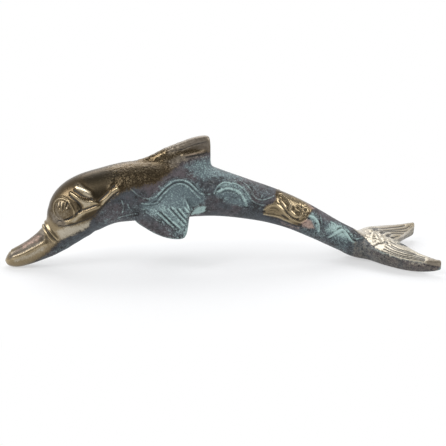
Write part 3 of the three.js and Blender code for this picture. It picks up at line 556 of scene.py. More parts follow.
def curve(rows, stations):
    """Places on the smooth line through some rows of values, counted in rows."""
    rows = np.asarray(rows, float)
    padded = np.vstack([2 * rows[0] - rows[1], rows, 2 * rows[-1] - rows[-2]])
    stations = np.clip(np.atleast_1d(stations), 0, len(rows) - 1)
    first = np.minimum(stations.astype(int), len(rows) - 2)
    t = (stations - first)[:, None]
    before, start, end, after = (padded[first + n] for n in range(4))
    leaving = (end - before) / 2
    arriving = (after - start) / 2
    return (
        (2 * t**3 - 3 * t**2 + 1) * start
        + (t**3 - 2 * t**2 + t) * leaving
        + (3 * t**2 - 2 * t**3) * end
        + (t**3 - t**2) * arriving
    )


def smoothstep(low, high, value):
    t = np.clip((value - low) / (high - low), 0, 1)
    return t * t * (3 - 2 * t)


def bump(distance, reach):
    """A rounded rise of height 1 that ends at reach."""
    return np.clip(1 - (distance / reach) ** 2, 0, 1) ** 2


SPINE_SAMPLES = 400
HEIGHT_SAMPLES = 260
PLACES_AT_ONCE = 20000


class Form:
    """A tapering body round a spine in the middle plane. Places along it are counted in stations."""

    def __init__(self, rows):
        self.rows = np.array(rows, float)
        self.last = len(rows) - 1

    def at(self, stations):
        """Centre, direction, outward direction, depth and width at some stations."""
        rows = curve(self.rows, stations)
        near = 1e-3
        step = curve(self.rows, np.minimum(np.atleast_1d(stations) + near, self.last))
        step -= curve(self.rows, np.maximum(np.atleast_1d(stations) - near, 0))
        along = np.stack([step[:, 0], 0 * step[:, 0], step[:, 1]], 1)
        along /= np.linalg.norm(along, axis=1)[:, None]
        out = np.stack([-along[:, 2], along[:, 1], along[:, 0]], 1)
        centre = np.stack([rows[:, 0], 0 * rows[:, 0], rows[:, 1]], 1)
        return centre, along, out, rows[:, 2], rows[:, 3]

    def surface(self, stations, degrees, grow=0):
        """Places of the surface. The angle is 0 on the right side, 90 on the back and 180 on the left."""
        centre, _, out, depth, width = self.at(stations)
        a = np.radians(np.atleast_1d(degrees))
        places = centre + out * ((depth / 2 + grow) * np.sin(a))[:, None]
        places[:, 1] += (width / 2 + grow) * np.cos(a)
        return places

    def station_at(self, x):
        stations = np.linspace(0, self.last, SPINE_SAMPLES)
        return float(np.interp(x, curve(self.rows, stations)[:, 0], stations))

    def height_over(self, places):
        """How far each place lies over the surface, measured from the spine."""
        centre, _, out, depth, width = self.at(np.linspace(0, self.last, HEIGHT_SAMPLES))
        nearest = np.empty(len(places), int)
        for start in range(0, len(places), PLACES_AT_ONCE):
            part = places[start : start + PLACES_AT_ONCE]
            gap = (part[:, None, 0] - centre[None, :, 0]) ** 2 + (part[:, None, 2] - centre[None, :, 2]) ** 2
            nearest[start : start + PLACES_AT_ONCE] = gap.argmin(1)
        off = places - centre[nearest]
        rise = (off * out[nearest]).sum(1)
        side = off[:, 1]
        radius = np.hypot(rise, side)
        turn = np.arctan2(rise / depth[nearest], side / width[nearest])
        edge = np.hypot(depth[nearest] / 2 * np.sin(turn), width[nearest] / 2 * np.cos(turn))
        return radius - edge


# Squares round and along each skin, and how close two vertices have to be to count as one
TUBE_SQUARES = (96, 160)
BLADE_SQUARES = (160, 120)
DORSAL_SQUARES = (120, 120)
BAND_SQUARES = (24, 90)
TOUCHING = 1e-7


def wrapped(surface, around, along):
    """A closed skin: a sheet of squares wrapped round, with its two ends filled."""
    bm = bmesh.new()
    bmesh.ops.create_grid(bm, x_segments=around, y_segments=along, size=0.5)
    flat = np.array([vert.co for vert in bm.verts]) + 0.5
    for vert, place in zip(bm.verts, surface(flat[:, 0], flat[:, 1])):
        vert.co = place
    bmesh.ops.remove_doubles(bm, verts=bm.verts, dist=TOUCHING)
    bmesh.ops.holes_fill(bm, edges=bm.edges, sides=0)
    bmesh.ops.recalc_face_normals(bm, faces=bm.faces)
    return bm


def tube(form, grow=0.0):
    """The closed skin round a form."""
    return wrapped(lambda u, v: form.surface(form.last * v, 360 * u, grow), *TUBE_SQUARES)


# How full the section of a blade is over and under its edges. A smaller power is fuller
BLADE_ROUNDING = (0.4, 0.7)


def blade(leads, trails, above, below, outward):
    """A closed blade between two edges, of some heights above and below them."""

    def surface(u, v):
        station = v * (len(leads) - 1)
        share = np.where(u < 0.5, 2 * u, 2 - 2 * u)
        full = np.clip(4 * share * (1 - share), 0, 1)
        top = curve(above[:, None], station)[:, 0] * full ** BLADE_ROUNDING[0]
        bottom = -curve(below[:, None], station)[:, 0] * full ** BLADE_ROUNDING[1]
        height = np.where(u < 0.5, top, bottom)
        edge = curve(leads, station) * (1 - share)[:, None] + curve(trails, station) * share[:, None]
        return edge + np.array(outward) * height[:, None]

    return wrapped(surface, *BLADE_SQUARES)


def to_object(name, bm):
    """A mesh object made of a bmesh, which is used up."""
    mesh = bpy.data.meshes.new(name)
    bm.to_mesh(mesh)
    bm.free()
    thing = bpy.data.objects.new(name, mesh)
    bpy.context.scene.collection.objects.link(thing)
    return thing


def applied(thing):
    """Turns an object's modifiers into its mesh."""
    bpy.context.view_layer.update()
    mesh = bpy.data.meshes.new_from_object(thing.evaluated_get(bpy.context.evaluated_depsgraph_get()))
    thing.modifiers.clear()
    thing.data = mesh
    return thing


def discard(thing):
    bpy.data.objects.remove(thing, do_unlink=True)


def values_of(items, name, width=1):
    """One property of many items, as an array."""
    values = np.empty(len(items) * width, np.float32)
    items.foreach_get(name, values)
    return values.astype(float)


def places_of(mesh):
    return values_of(mesh.vertices, "co", 3).reshape(-1, 3)


def set_places(mesh, places):
    mesh.vertices.foreach_set("co", places.astype(np.float32).ravel())
    mesh.update()


def normals_of(mesh):
    return values_of(mesh.vertex_normals, "vector", 3).reshape(-1, 3)


def stored(mesh, name):
    return values_of(mesh.attributes[name].data, "value")


def store(mesh, name, values):
    found = mesh.attributes.get(name) or mesh.attributes.new(name, "FLOAT", "POINT")
    found.data.foreach_set("value", values.astype(np.float32))


def neighbour_mean(mesh):
    """A function that averages some values over each vertex's neighbours, some rounds over."""
    ends = np.empty(len(mesh.edges) * 2, np.int32)
    mesh.edges.foreach_get("vertices", ends)
    ends = ends.reshape(-1, 2)
    here = np.concatenate([ends[:, 0], ends[:, 1]])
    there = np.concatenate([ends[:, 1], ends[:, 0]])
    total = len(mesh.vertices)
    count = np.maximum(np.bincount(here, minlength=total), 1)

    def mean(values, rounds=1):
        columns = values.reshape(total, -1).T
        for _ in range(rounds):
            columns = [np.bincount(here, column[there], total) / count for column in columns]
        return np.stack(columns, 1).reshape(values.shape)

    return mean


class Photo:
    """The photograph's camera: where its pixels look, and which pixel sees a place."""

    def __init__(self):
        a, e = CAMERA_AZIMUTH, CAMERA_ELEVATION
        self.back = np.array([math.sin(a) * math.cos(e), -math.cos(a) * math.cos(e), math.sin(e)])
        self.right = np.array([math.cos(a), math.sin(a), 0])
        self.up = np.cross(self.back, self.right)
        self.eye = AIM + self.back * CAMERA_DISTANCE

    def pixels(self, places):
        off = places - AIM
        scale = FOCAL_PIXELS / (CAMERA_DISTANCE - off @ self.back)
        middle = PHOTO_SIDE / 2
        return np.stack([middle + scale * (off @ self.right), middle - scale * (off @ self.up)], 1)

    def on_surface(self, tree, pixel):
        """The place of a surface that a pixel sees, or the nearest one where it looks past the surface."""
        across, down = (np.array(pixel) - PHOTO_SIDE / 2) / FOCAL_PIXELS
        ray = Vector(self.right * across - self.up * down - self.back).normalized()
        hit = tree.ray_cast(Vector(self.eye), ray)[0]
        if hit is None:
            middle = -self.eye[1] / ray.y
            hit = tree.find_nearest(Vector(self.eye) + ray * middle)[0]
        return np.array(hit)


PHOTO = Photo()


def to_near_side(places):
    """Both sides of the dolphin are alike, so the right side is read off the left."""
    folded = places.copy()
    folded[:, 1] = -np.abs(folded[:, 1])
    return folded


def distance_to_line(places, line):
    """Each place's distance to a line of points."""
    best = np.full(len(places), np.inf)
    for start, end in zip(line[:-1], line[1:]):
        step = end - start
        share = np.clip((places - start) @ step / (step @ step), 0, 1)
        best = np.minimum(best, ((places - start - share[:, None] * step) ** 2).sum(1))
    return np.sqrt(best)


def inside_outline(pixels, outline):
    """How far each pixel lies inside a closed outline, in pixels. Outside it is negative."""
    outline = np.array(outline, float)
    following = np.roll(outline, -1, 0)
    distance = distance_to_line(pixels, np.vstack([outline, outline[:1]]))
    within = np.zeros(len(pixels), bool)
    for (x0, y0), (x1, y1) in zip(outline, following):
        crosses = (pixels[:, 1] < y0) != (pixels[:, 1] < y1)
        if y0 != y1:
            within ^= crosses & (pixels[:, 0] < x0 + (pixels[:, 1] - y0) * (x1 - x0) / (y1 - y0))
    return np.where(within, distance, -distance)


def body_form(sizes):
    front = CAD_HIGH.x - sizes.fluke_length - sizes.body_length
    scale = (sizes.body_length, sizes.arch_height, sizes.body_depth, sizes.body_width)
    return Form(np.array(BODY_SHAPE) * scale + (front, 0, 0, 0))


def resting_form(shape, joint, joint_at, length, rest_cut):
    """A form that rises from its flat on the table to its joint with the body.

    The joint is a row of the body's form, and lies at a share of the length.
    """
    rows = []
    for x, lift, depth, width in shape:
        depth = depth * joint[2]
        height = depth / 2 + lift * (joint[1] - joint[2] / 2 + rest_cut) - rest_cut
        rows.append((joint[0] + (x - joint_at) * length, height, depth, width * joint[3]))
    return Form(rows)


def beak_form(sizes, body):
    return resting_form(BEAK_SHAPE, body.rows[0], 1, sizes.beak_length, sizes.rest_cut)


def fluke_root_form(sizes, body):
    return resting_form(FLUKE_ROOT_SHAPE, body.rows[-1], 0, sizes.fluke_length, sizes.fluke_cut)


def station_along(sizes, body, share):
    """The station at a share of the body's length."""
    return body.station_at(body.rows[0, 0] + share * sizes.body_length)


# Where the dorsal fin sits, as shares of the body's length and of its own
DORSAL_AT = 0.413
DORSAL_SEAT = 0.522
# How its sides spread towards the root, how close its rows lie to the crest, and how far round the crest is
DORSAL_FLARE = 1.7
DORSAL_SPACING = 1.2
DORSAL_CREST = 0.8


def dorsal_fin(sizes, body):
    """The thick blade on the back. Its sides spread towards the root."""
    crown = body.surface(station_along(sizes, body, DORSAL_AT), 90)[0]
    root_z = crown[2] - sizes.dorsal_sink

    def surface(u, v):
        x, rise, crest = curve(DORSAL_SHAPE, v * (len(DORSAL_SHAPE) - 1)).T
        z = crown[2] + rise * sizes.dorsal_height
        tip = crest * sizes.dorsal_thickness / 2
        root = crest * sizes.dorsal_root / 2
        height = z - root_z
        drop = np.abs(2 * u - 1) ** DORSAL_SPACING * height
        half = tip + (root - tip) * (drop / height) ** DORSAL_FLARE
        half *= np.sqrt(1 - (1 - np.clip(drop / (DORSAL_CREST * tip), 0, 1)) ** 2)
        along = crown[0] + (x - DORSAL_SEAT) * sizes.dorsal_length
        return np.stack([along, np.sign(0.5 - u) * half, z - drop], 1)

    return wrapped(surface, *DORSAL_SQUARES)


# Where the pectoral fins' rivets sit: share of the body's length, and degrees round it
PECTORAL_AT = 0.357
PECTORAL_ANGLE = 198.4


def pectoral_fin(sizes, body, grow=0.0):
    """The left pectoral fin."""
    rivet = body.surface(station_along(sizes, body, PECTORAL_AT), PECTORAL_ANGLE)[0]
    edges = (np.array([row[n] for row in PECTORAL_SHAPE]) for n in (0, 1))
    leads, trails = (rivet + sizes.pectoral_length * edge for edge in edges)
    spread = (leads - trails) / np.linalg.norm(leads - trails, axis=1)[:, None]
    half = np.array([row[2] for row in PECTORAL_SHAPE]) * sizes.pectoral_thickness / 2 + grow
    return blade(leads + grow * spread, trails - grow * spread, half, half, PECTORAL_FACING)


def fluke_blade(sizes, body, side):
    """The blade of the left fluke, side -1, or of the right one, side 1."""
    root = body.rows[-1, 0]
    scale = np.array([sizes.fluke_length, side * sizes.fluke_half_span, sizes.fluke_height])
    rows = RIGHT_BLADE_SHAPE if side > 0 else LEFT_BLADE_SHAPE
    leads, trails = (np.array([(*row[n], row[2]) for row in rows]) * scale + (root, 0, 0) for n in (0, 1))
    edge, top, base = np.array([row[2:] for row in rows]).T * sizes.fluke_height
    return blade(leads, trails, top - edge, edge - base + sizes.fluke_cut, (0, 0, 1))


def mirrored(bm):
    """A bmesh turned into its own image on the other side of the middle plane."""
    bmesh.ops.scale(bm, vec=(1, -1, 1), verts=bm.verts)
    bmesh.ops.reverse_faces(bm, faces=bm.faces)
    return bm


def cut_off(bm, place, away, near=0.0):
    """Takes off what lies past a plane and closes the cut. Vertices as near as this count as on the plane."""
    geometry = bm.verts[:] + bm.edges[:] + bm.faces[:]
    bmesh.ops.bisect_plane(bm, geom=geometry, dist=near, plane_co=place, plane_no=away, clear_outer=True)
    bmesh.ops.holes_fill(bm, edges=[edge for edge in bm.edges if edge.is_boundary], sides=0)
    return bm


def below_table(bm):
    """Cuts a bmesh off at the table."""
    return cut_off(bm, (0, 0, 0), (0, 0, -1))


def joined(name, skins):
    whole = bmesh.new()
    for skin in skins:
        mesh = bpy.data.meshes.new(name)
        skin.to_mesh(mesh)
        skin.free()
        whole.from_mesh(mesh)
        bpy.data.meshes.remove(mesh)
    return to_object(name, whole)


# Where the eyes sit: share of the body's length, and degrees up from the sides
EYE_AT = 0.066
EYE_UP = 27
# How many stations and degrees to either side their directions are taken over
EYE_STEP = (0.4, 5)
# The eye's oval, how deep and how high it is cut out, and how far its relief reaches
EYE_LENGTH = 11.2 * MM
EYE_HEIGHT = 13.6 * MM
EYE_BASE = 2.2 * MM
EYE_TOP = 6 * MM
EYE_REACH = 14 * MM
EYE_SIDES = 72
# The eye's ball and then its rings: height in millimetres, distance and half width as shares of its oval
EYE_BALL = (0.95, 0.92)
EYE_RINGS = [(-0.1, 0.95, 0.1), (0.45, 1.15, 0.13), (-0.2, 1.33, 0.12)]


def eye_frame(sizes, body):
    """Where the left eye sits, and its directions forwards, outwards and upwards."""
    station = station_along(sizes, body, EYE_AT)
    angle = 180 - EYE_UP
    stations, degrees = EYE_STEP
    place = body.surface(station, angle)[0]
    rearwards = (body.surface(station + stations, angle) - body.surface(station - stations, angle))[0]
    rearwards /= np.linalg.norm(rearwards)
    upwards = (body.surface(station, angle - degrees) - body.surface(station, angle + degrees))[0]
    outward = np.cross(rearwards, upwards)
    outward /= np.linalg.norm(outward)
    return place, -rearwards, outward, np.cross(-rearwards, outward)


def eye_relief(places, sizes, body):
    """The height of the eye's ball and rings."""
    place, forwards, _, upwards = eye_frame(sizes, body)
    off = places - place
    oval = np.hypot(off @ forwards / (EYE_LENGTH / 2), off @ upwards / (EYE_HEIGHT / 2))
    rise, reach = EYE_BALL
    height = rise * np.clip(1 - (oval / reach) ** 2, 0, 1)
    for rise, distance, half_width in EYE_RINGS:
        height += rise * bump(oval - distance, half_width)
    return height * MM * (np.linalg.norm(off, axis=1) < EYE_REACH)


# The band: how many degrees it reaches past the sides, its two beads' pitch, and their height and half width
BAND_PAST = 4
BAND_PITCH = 3.0 * MM
BAND_BEAD = (1.3 * MM, 1.7 * MM)
BAND_POINTS = 60


def band_line(body, ahead=0.0):
    """The middle line of the band round the beak's root, from cheek to cheek."""
    line = body.surface(np.zeros(BAND_POINTS), np.linspace(-BAND_PAST, 180 + BAND_PAST, BAND_POINTS))
    return line - body.at(0)[1] * ahead


def band_relief(places, body):
    rise, half_width = BAND_BEAD
    lines = [band_line(body, ahead) for ahead in (-BAND_PITCH / 2, BAND_PITCH / 2)]
    return sum(rise * bump(distance_to_line(places, line), half_width) for line in lines)


# How many points a line is given for each of its own, and the shortest step between two of them
LINE_FINENESS = 6
SHORTEST_STEP = 0.1 * MM
# How high or deep the carving gets at most, where lines run together
RELIEF_LIMIT = 1.2 * MM


def smooth_line(points):
    """A smooth line through some pixels of the photograph."""
    return curve(points, np.linspace(0, len(points) - 1, LINE_FINENESS * len(points)))


def carved_line(tree, points):
    """The line over the surface where the photograph shows a line through some pixels."""
    line = to_near_side(np.array([PHOTO.on_surface(tree, pixel) for pixel in smooth_line(points)]))
    steps = np.linalg.norm(np.diff(line, axis=0), axis=1)
    return line[np.concatenate([[True], steps > SHORTEST_STEP])]


def carved_relief(places, tree):
    """The height of all carved lines over the clay."""
    height = np.zeros(len(places))
    for kind, lines in CARVING.items():
        half_width, rise, side, side_half_width, side_depth = np.array(CUTS[kind]) * MM
        reach = max(half_width, side + side_half_width)
        for points in lines:
            line = carved_line(tree, points)
            near = np.all((places > line.min(0) - reach) & (places < line.max(0) + reach), axis=1)
            distance = distance_to_line(places[near], line)
            cut = rise * bump(distance, half_width)
            if side_depth:
                cut -= side_depth * bump(distance - side, side_half_width)
            height[near] += cut
    return np.clip(height, -RELIEF_LIMIT, RELIEF_LIMIT)


def fluke_marks(places, normals):
    """How much of the combed lines and pits shows on the tops of the flukes."""
    marks = np.zeros(len(places))
    tops = (places[:, 0] > FLUKE_TOPS_FROM) & (normals[:, 2] > FLUKE_TOPS_SLOPE)
    for side, lines in FLUKE_LINES.items():
        picked = np.nonzero(tops & (places[:, 1] * side > 0))[0]
        pixels = PHOTO.pixels(places[picked])
        best = np.zeros(len(picked))
        for points in lines:
            best = np.maximum(best, bump(distance_to_line(pixels, smooth_line(points)), FLUKE_LINE_REACH))
        for pit in FLUKE_PITS if side > 0 else ():
            off = np.hypot(*((pixels - pit) / FLUKE_PIT_REACH).T)
            best = np.maximum(best, FLUKE_PIT_STRENGTH * bump(off, 1))
        marks[picked] = best
    return marks


def patch_values(name, pixels):
    """How strongly a kind of patch shows at some pixels."""
    values = np.zeros(len(pixels))
    for strength, softness, outline in PATCHES[name]:
        inside = smoothstep(-softness, softness, inside_outline(pixels, outline))
        values = np.maximum(values, strength * inside)
    return values


# The fine and the coarse grain of the casting skin: scale, then height in even, pitted and lumpy metal
CAST_GRAINS = [
    (1100, (0.015 * MM, 0.145 * MM, 0)),
    (520, (0.02 * MM, 0.13 * MM, 0.9 * MM)),
]


def cast_skin(places):
    """The grain of the casting skin, coarse where the metal is pitted, and the lumps of braze."""
    pixels = PHOTO.pixels(to_near_side(places))
    shares = [np.ones(len(places)), patch_values("pitted", pixels), patch_values("lumpy", pixels)]
    skin = np.zeros(len(places))
    for scale, heights in CAST_GRAINS:
        grain = np.array([noise.noise(place) for place in places * scale])
        skin += sum(height * share for height, share in zip(heights, shares)) * grain
    return skin


# Masks that the finishes read, painted highlights and painted shade among them, by the names of their inputs
MASKS = {
    "Polish": "polish", "Bright": "bright", "Dust": "dust", "Green": "verdigris", "Bare Copper": "copper",
    "Rub And Highlight": "rub_and_highlight", "Dull": "dull", "Waxed And Shaded": "wax_and_shade", "Pitted": "pitted", "Wear": "wear", "Hollow": "hollow",
}
# Where along X, and how squarely seen by the camera, the right side has its own patches
OWN_FROM_TO = (75 * MM, 90 * MM)
SEEN_FROM_TO = (-0.05, 0.15)


def finish_masks(mesh, places, normals):
    """Writes how much each place shows of every finish, painted highlights and painted shade among them."""
    pixels = PHOTO.pixels(to_near_side(places))
    own = smoothstep(*OWN_FROM_TO, places[:, 0]) * smoothstep(*SEEN_FROM_TO, normals @ PHOTO.back)
    pixels += (PHOTO.pixels(places) - pixels) * own[:, None]
    for name in MASKS.values():
        if name in PATCHES:
            store(mesh, name, patch_values(name, pixels))


# Where the clay is smoothed most: near the body's skin round the roots of these nodes, and at the throat
ROOT_NODES = ("dorsal_fin", "pectoral_fin_left", "fluke_left")
ROOT_MARGIN = 6 * MM
ROOT_BLEND = (6 * MM, 1 * MM)
THROAT_X = -78 * MM
THROAT_BLEND = (16 * MM, 10 * MM)
THROAT_TOP = (38 * MM, 30 * MM)
WEIGHT_LEVELS = 10
ROOT_ROUNDS = 90
SETTLE_ROUNDS = 9


def joined_clay(sizes, body):
    """The forms of the dolphin run into one skin of even squares."""
    clay = joined("clay", [
        tube(body),
        below_table(tube(beak_form(sizes, body))),
        dorsal_fin(sizes, body),
        pectoral_fin(sizes, body),
        mirrored(pectoral_fin(sizes, body)),
        below_table(tube(fluke_root_form(sizes, body))),
        below_table(fluke_blade(sizes, body, -1)),
        below_table(fluke_blade(sizes, body, 1)),
    ])
    remesh = clay.modifiers.new("even squares", "REMESH")
    remesh.mode = "VOXEL"
    remesh.voxel_size = sizes.clay_grain
    return applied(clay)


def root_weights(places, body):
    """How much each place is smoothed as part of a root or of the throat."""
    folded = to_near_side(places)
    root = np.zeros(len(places))
    for node in ROOT_NODES:
        low, high = (np.array(corner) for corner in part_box(node))
        root[np.all((folded > low - ROOT_MARGIN) & (folded < high + ROOT_MARGIN), axis=1)] = 1
    root *= smoothstep(*ROOT_BLEND, np.abs(body.height_over(places)))
    throat = smoothstep(*THROAT_BLEND, np.abs(places[:, 0] - THROAT_X))
    return np.maximum(root, throat * smoothstep(*THROAT_TOP, places[:, 2]))


def smooth_clay(clay, body):
    """Rounds the roots and the throat, and then the whole a little."""
    weights = root_weights(places_of(clay.data), body)
    roots = clay.vertex_groups.new(name="roots")
    for level in range(1, WEIGHT_LEVELS + 1):
        picked = np.nonzero(np.round(weights * WEIGHT_LEVELS) == level)[0]
        roots.add(picked.tolist(), level / WEIGHT_LEVELS, "REPLACE")
    for group, rounds in (("roots", ROOT_ROUNDS), ("", SETTLE_ROUNDS)):
        smooth = clay.modifiers.new("smooth", "SMOOTH")
        smooth.vertex_group = group
        smooth.factor = 0.5
        smooth.iterations = rounds
    applied(clay)
    clay.vertex_groups.clear()


# Rounds of averaging, for the normals and for the form that edges and hollows are measured from
NORMAL_ROUNDS = 3
BLUR_ROUNDS = 14
# Smoothing and sharpening in turn, which takes off the steps of the squares
SMOOTHING = (0.5, -0.4, 0.5, -0.4, 0.4)
# How far edges stand out and hollows lie back, and how dirty the flukes' marks are
WEAR_FROM_TO = (0.05 * MM, 0.28 * MM)
HOLLOW_FROM_TO = (-0.03 * MM, -0.28 * MM)
MARK_DIRT = 1.3


def model_clay(sizes):
    """The whole dolphin in one piece, with its relief and the places of its finishes."""
    body = body_form(sizes)
    clay = joined_clay(sizes, body)
    smooth_clay(clay, body)

    mesh = clay.data
    places = places_of(mesh)
    folded = to_near_side(places)
    polygons = [tuple(polygon.vertices) for polygon in mesh.polygons]
    tree = BVHTree.FromPolygons([tuple(place) for place in places], polygons)
    mean = neighbour_mean(mesh)
    normals = mean(normals_of(mesh), NORMAL_ROUNDS)
    normals /= np.linalg.norm(normals, axis=1)[:, None]
    marks = fluke_marks(places, normals)
    relief = carved_relief(folded, tree) + eye_relief(folded, sizes, body) + band_relief(folded, body)
    relief -= FLUKE_LINE_DEPTH * marks
    relief = (relief + mean(relief)) / 2 + cast_skin(places)
    raised = places + normals * relief[:, None]
    raised[:, 2] = np.maximum(raised[:, 2], np.minimum(places[:, 2], 0))
    for share in SMOOTHING:
        raised = raised + share * (mean(raised) - raised)
    set_places(mesh, raised)

    stands = mean(((raised - mean(raised, BLUR_ROUNDS)) * normals).sum(1))
    store(mesh, "wear", smoothstep(*WEAR_FROM_TO, stands))
    hollow = np.maximum(smoothstep(*HOLLOW_FROM_TO, stands), np.clip(MARK_DIRT * marks, 0, 1))
    store(mesh, "hollow", hollow)
    finish_masks(mesh, raised, normals)
    store(mesh, "known", np.ones(len(raised)))
    return clay


def clay_copy(name):
    """A fresh copy of the clay, under a piece's name."""
    clay = bpy.data.objects["clay"]
    piece = bpy.data.objects.new(name, clay.data.copy())
    bpy.context.scene.collection.objects.link(piece)
    return piece


def cut(piece, cutter, operation):
    """Keeps what two solids share, or takes one from the other. The cutter is used up."""
    boolean = piece.modifiers.new("cut", "BOOLEAN")
    boolean.operation = operation
    boolean.solver = "MANIFOLD"
    boolean.object = cutter
    applied(piece)
    discard(cutter)
    return piece


def cut_plane(piece, place, away):
    """Takes off what lies past a plane and closes the cut face."""
    bm = bmesh.new()
    bm.from_mesh(piece.data)
    cut_off(bm, place, away, TOUCHING).to_mesh(piece.data)
    bm.free()
    return piece


def parted(name, make_space, *given):
    """Parts the clay along the walls of a space. Gives the part inside, under a piece's name."""
    piece = cut(clay_copy(name), make_space(*given), "INTERSECT")
    cut(bpy.data.objects["clay"], make_space(*given), "DIFFERENCE")
    return piece


MASK_ROUNDS = 4


def fill_masks(mesh):
    """Gives the vertices that a cut has added the masks of their neighbours."""
    known = stored(mesh, "known")
    names = list(MASKS.values())
    values = np.stack([stored(mesh, name) for name in names] + [np.ones(len(known))], 1) * known[:, None]
    mean = neighbour_mean(mesh)
    new = known < 0.5
    for _ in range(MASK_ROUNDS):
        values[new] = mean(values)[new]
    weight = np.maximum(values[:, -1], 1e-6)
    for n, name in enumerate(names):
        store(mesh, name, np.where(new, values[:, n] / weight, values[:, n]))


SHARP_FROM = math.radians(62)


def finished(piece, slot, nodes):
    """Gives a piece its finish and lets it stand for its CAD nodes."""
    mesh = piece.data
    if not mesh.polygons:
        raise RuntimeError("nothing of the clay is left for " + piece.name)
    fill_masks(mesh)
    mesh.attributes.remove(mesh.attributes["known"])
    mesh.shade_smooth()
    mesh.set_sharp_from_angle(angle=SHARP_FROM)
    mesh.materials.clear()
    mesh.materials.append(finish_material(slot))
    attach(piece, "root")
    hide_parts(*nodes)
    return piece


def matrix_of(x_axis, y_axis, z_axis, place):
    """A matrix of three directions and a place."""
    matrix = np.eye(4)
    matrix[:3] = np.stack([x_axis, y_axis, z_axis, place], 1)
    return matrix


def eye_space(sizes, side):
    """The oval prism that an eye stud is cut out with. Side is -1 on the left and 1 on the right."""
    place, forwards, outward, upwards = eye_frame(sizes, body_form(sizes))
    matrix = matrix_of(forwards, upwards, outward, place)
    matrix[1] *= -side
    bm = bmesh.new()
    bmesh.ops.create_cone(bm, cap_ends=True, segments=EYE_SIDES, radius1=1, radius2=1, depth=1)
    middle = Matrix.Translation((0, 0, (EYE_TOP - EYE_BASE) / 2))
    shape = middle @ Matrix.Diagonal((EYE_LENGTH / 2, EYE_HEIGHT / 2, EYE_TOP + EYE_BASE, 1))
    bmesh.ops.transform(bm, matrix=Matrix(matrix) @ shape, verts=bm.verts)
    if np.linalg.det(matrix) < 0:
        bmesh.ops.reverse_faces(bm, faces=bm.faces)
    return to_object("eye space", bm)


# The band's space: half width, height over the head and depth in it
BAND_SPACE = (3.3 * MM, 4 * MM, 1.3 * MM)


def band_space(sizes):
    """The space round the band that it is cut out with."""
    body = body_form(sizes)
    line = band_line(body)
    ahead = body.at(0)[1][0]
    middle = line.mean(0)
    half_width, over, under = BAND_SPACE

    def surface(u, v):
        centre = curve(line, v * (len(line) - 1))
        outward = centre - middle
        outward -= np.outer(outward @ ahead, ahead)
        outward /= np.linalg.norm(outward, axis=1)[:, None]
        turn = 2 * np.pi * u
        wide = half_width * np.cos(turn)
        high = np.where(np.sin(turn) > 0, over, under) * np.sin(turn)
        return centre + ahead * wide[:, None] + outward * high[:, None]

    return to_object("band space", wrapped(surface, *BAND_SQUARES))


# The fins' spaces: room round the fin, and how far off the body's form the joint lies
DORSAL_ROOM = (8 * MM, 16 * MM)
DORSAL_ROOM_HEIGHT = 60 * MM
DORSAL_ROOM_DROP = 20 * MM
DORSAL_JOINT = 0.5 * MM
PECTORAL_ROOM = 2.4 * MM
PECTORAL_JOINT = 0.6 * MM


def outside_body(space, body, joint):
    """Takes the body, grown up to a joint, out of a space."""
    return cut(space, to_object("body space", tube(body, joint)), "DIFFERENCE")


def dorsal_space(sizes):
    """The space over the back that the dorsal fin is cut out with."""
    low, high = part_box("dorsal_fin")
    along, across = DORSAL_ROOM
    size = Vector((high.x - low.x + along, high.y - low.y + across, DORSAL_ROOM_HEIGHT))
    middle = Vector(((low.x + high.x) / 2, 0, high.z - DORSAL_ROOM_DROP))
    bm = bmesh.new()
    bmesh.ops.create_cube(bm, size=1)
    bmesh.ops.transform(bm, matrix=Matrix.Translation(middle) @ Matrix.Diagonal((*size, 1)), verts=bm.verts)
    return outside_body(to_object("dorsal space", bm), body_form(sizes), DORSAL_JOINT)


def pectoral_space(sizes, side):
    """The space over the flank that a pectoral fin is cut out with."""
    body = body_form(sizes)
    skin = pectoral_fin(sizes, body, PECTORAL_ROOM)
    space = to_object("pectoral space", mirrored(skin) if side > 0 else skin)
    return outside_body(space, body, PECTORAL_JOINT)


def planes(sizes):
    """Place and direction of the beak's joint and of the flukes' joint."""
    body = body_form(sizes)
    centre, along, _, _, _ = body.at([0, body.last])
    return (Vector(centre[0]), Vector(along[0])), (Vector(centre[1]), Vector(along[1]))


class Wire:
    """A value in a node tree. Sums and products of wires are made with math nodes."""

    def __init__(self, nodes, socket):
        self.nodes = nodes
        self.socket = socket

    def __add__(self, other):
        return self.nodes.math("ADD", self, other)

    def __sub__(self, other):
        return self.nodes.math("SUBTRACT", self, other)

    def __rsub__(self, other):
        return self.nodes.math("SUBTRACT", other, self)

    def __mul__(self, other):
        return self.nodes.math("MULTIPLY", self, other)


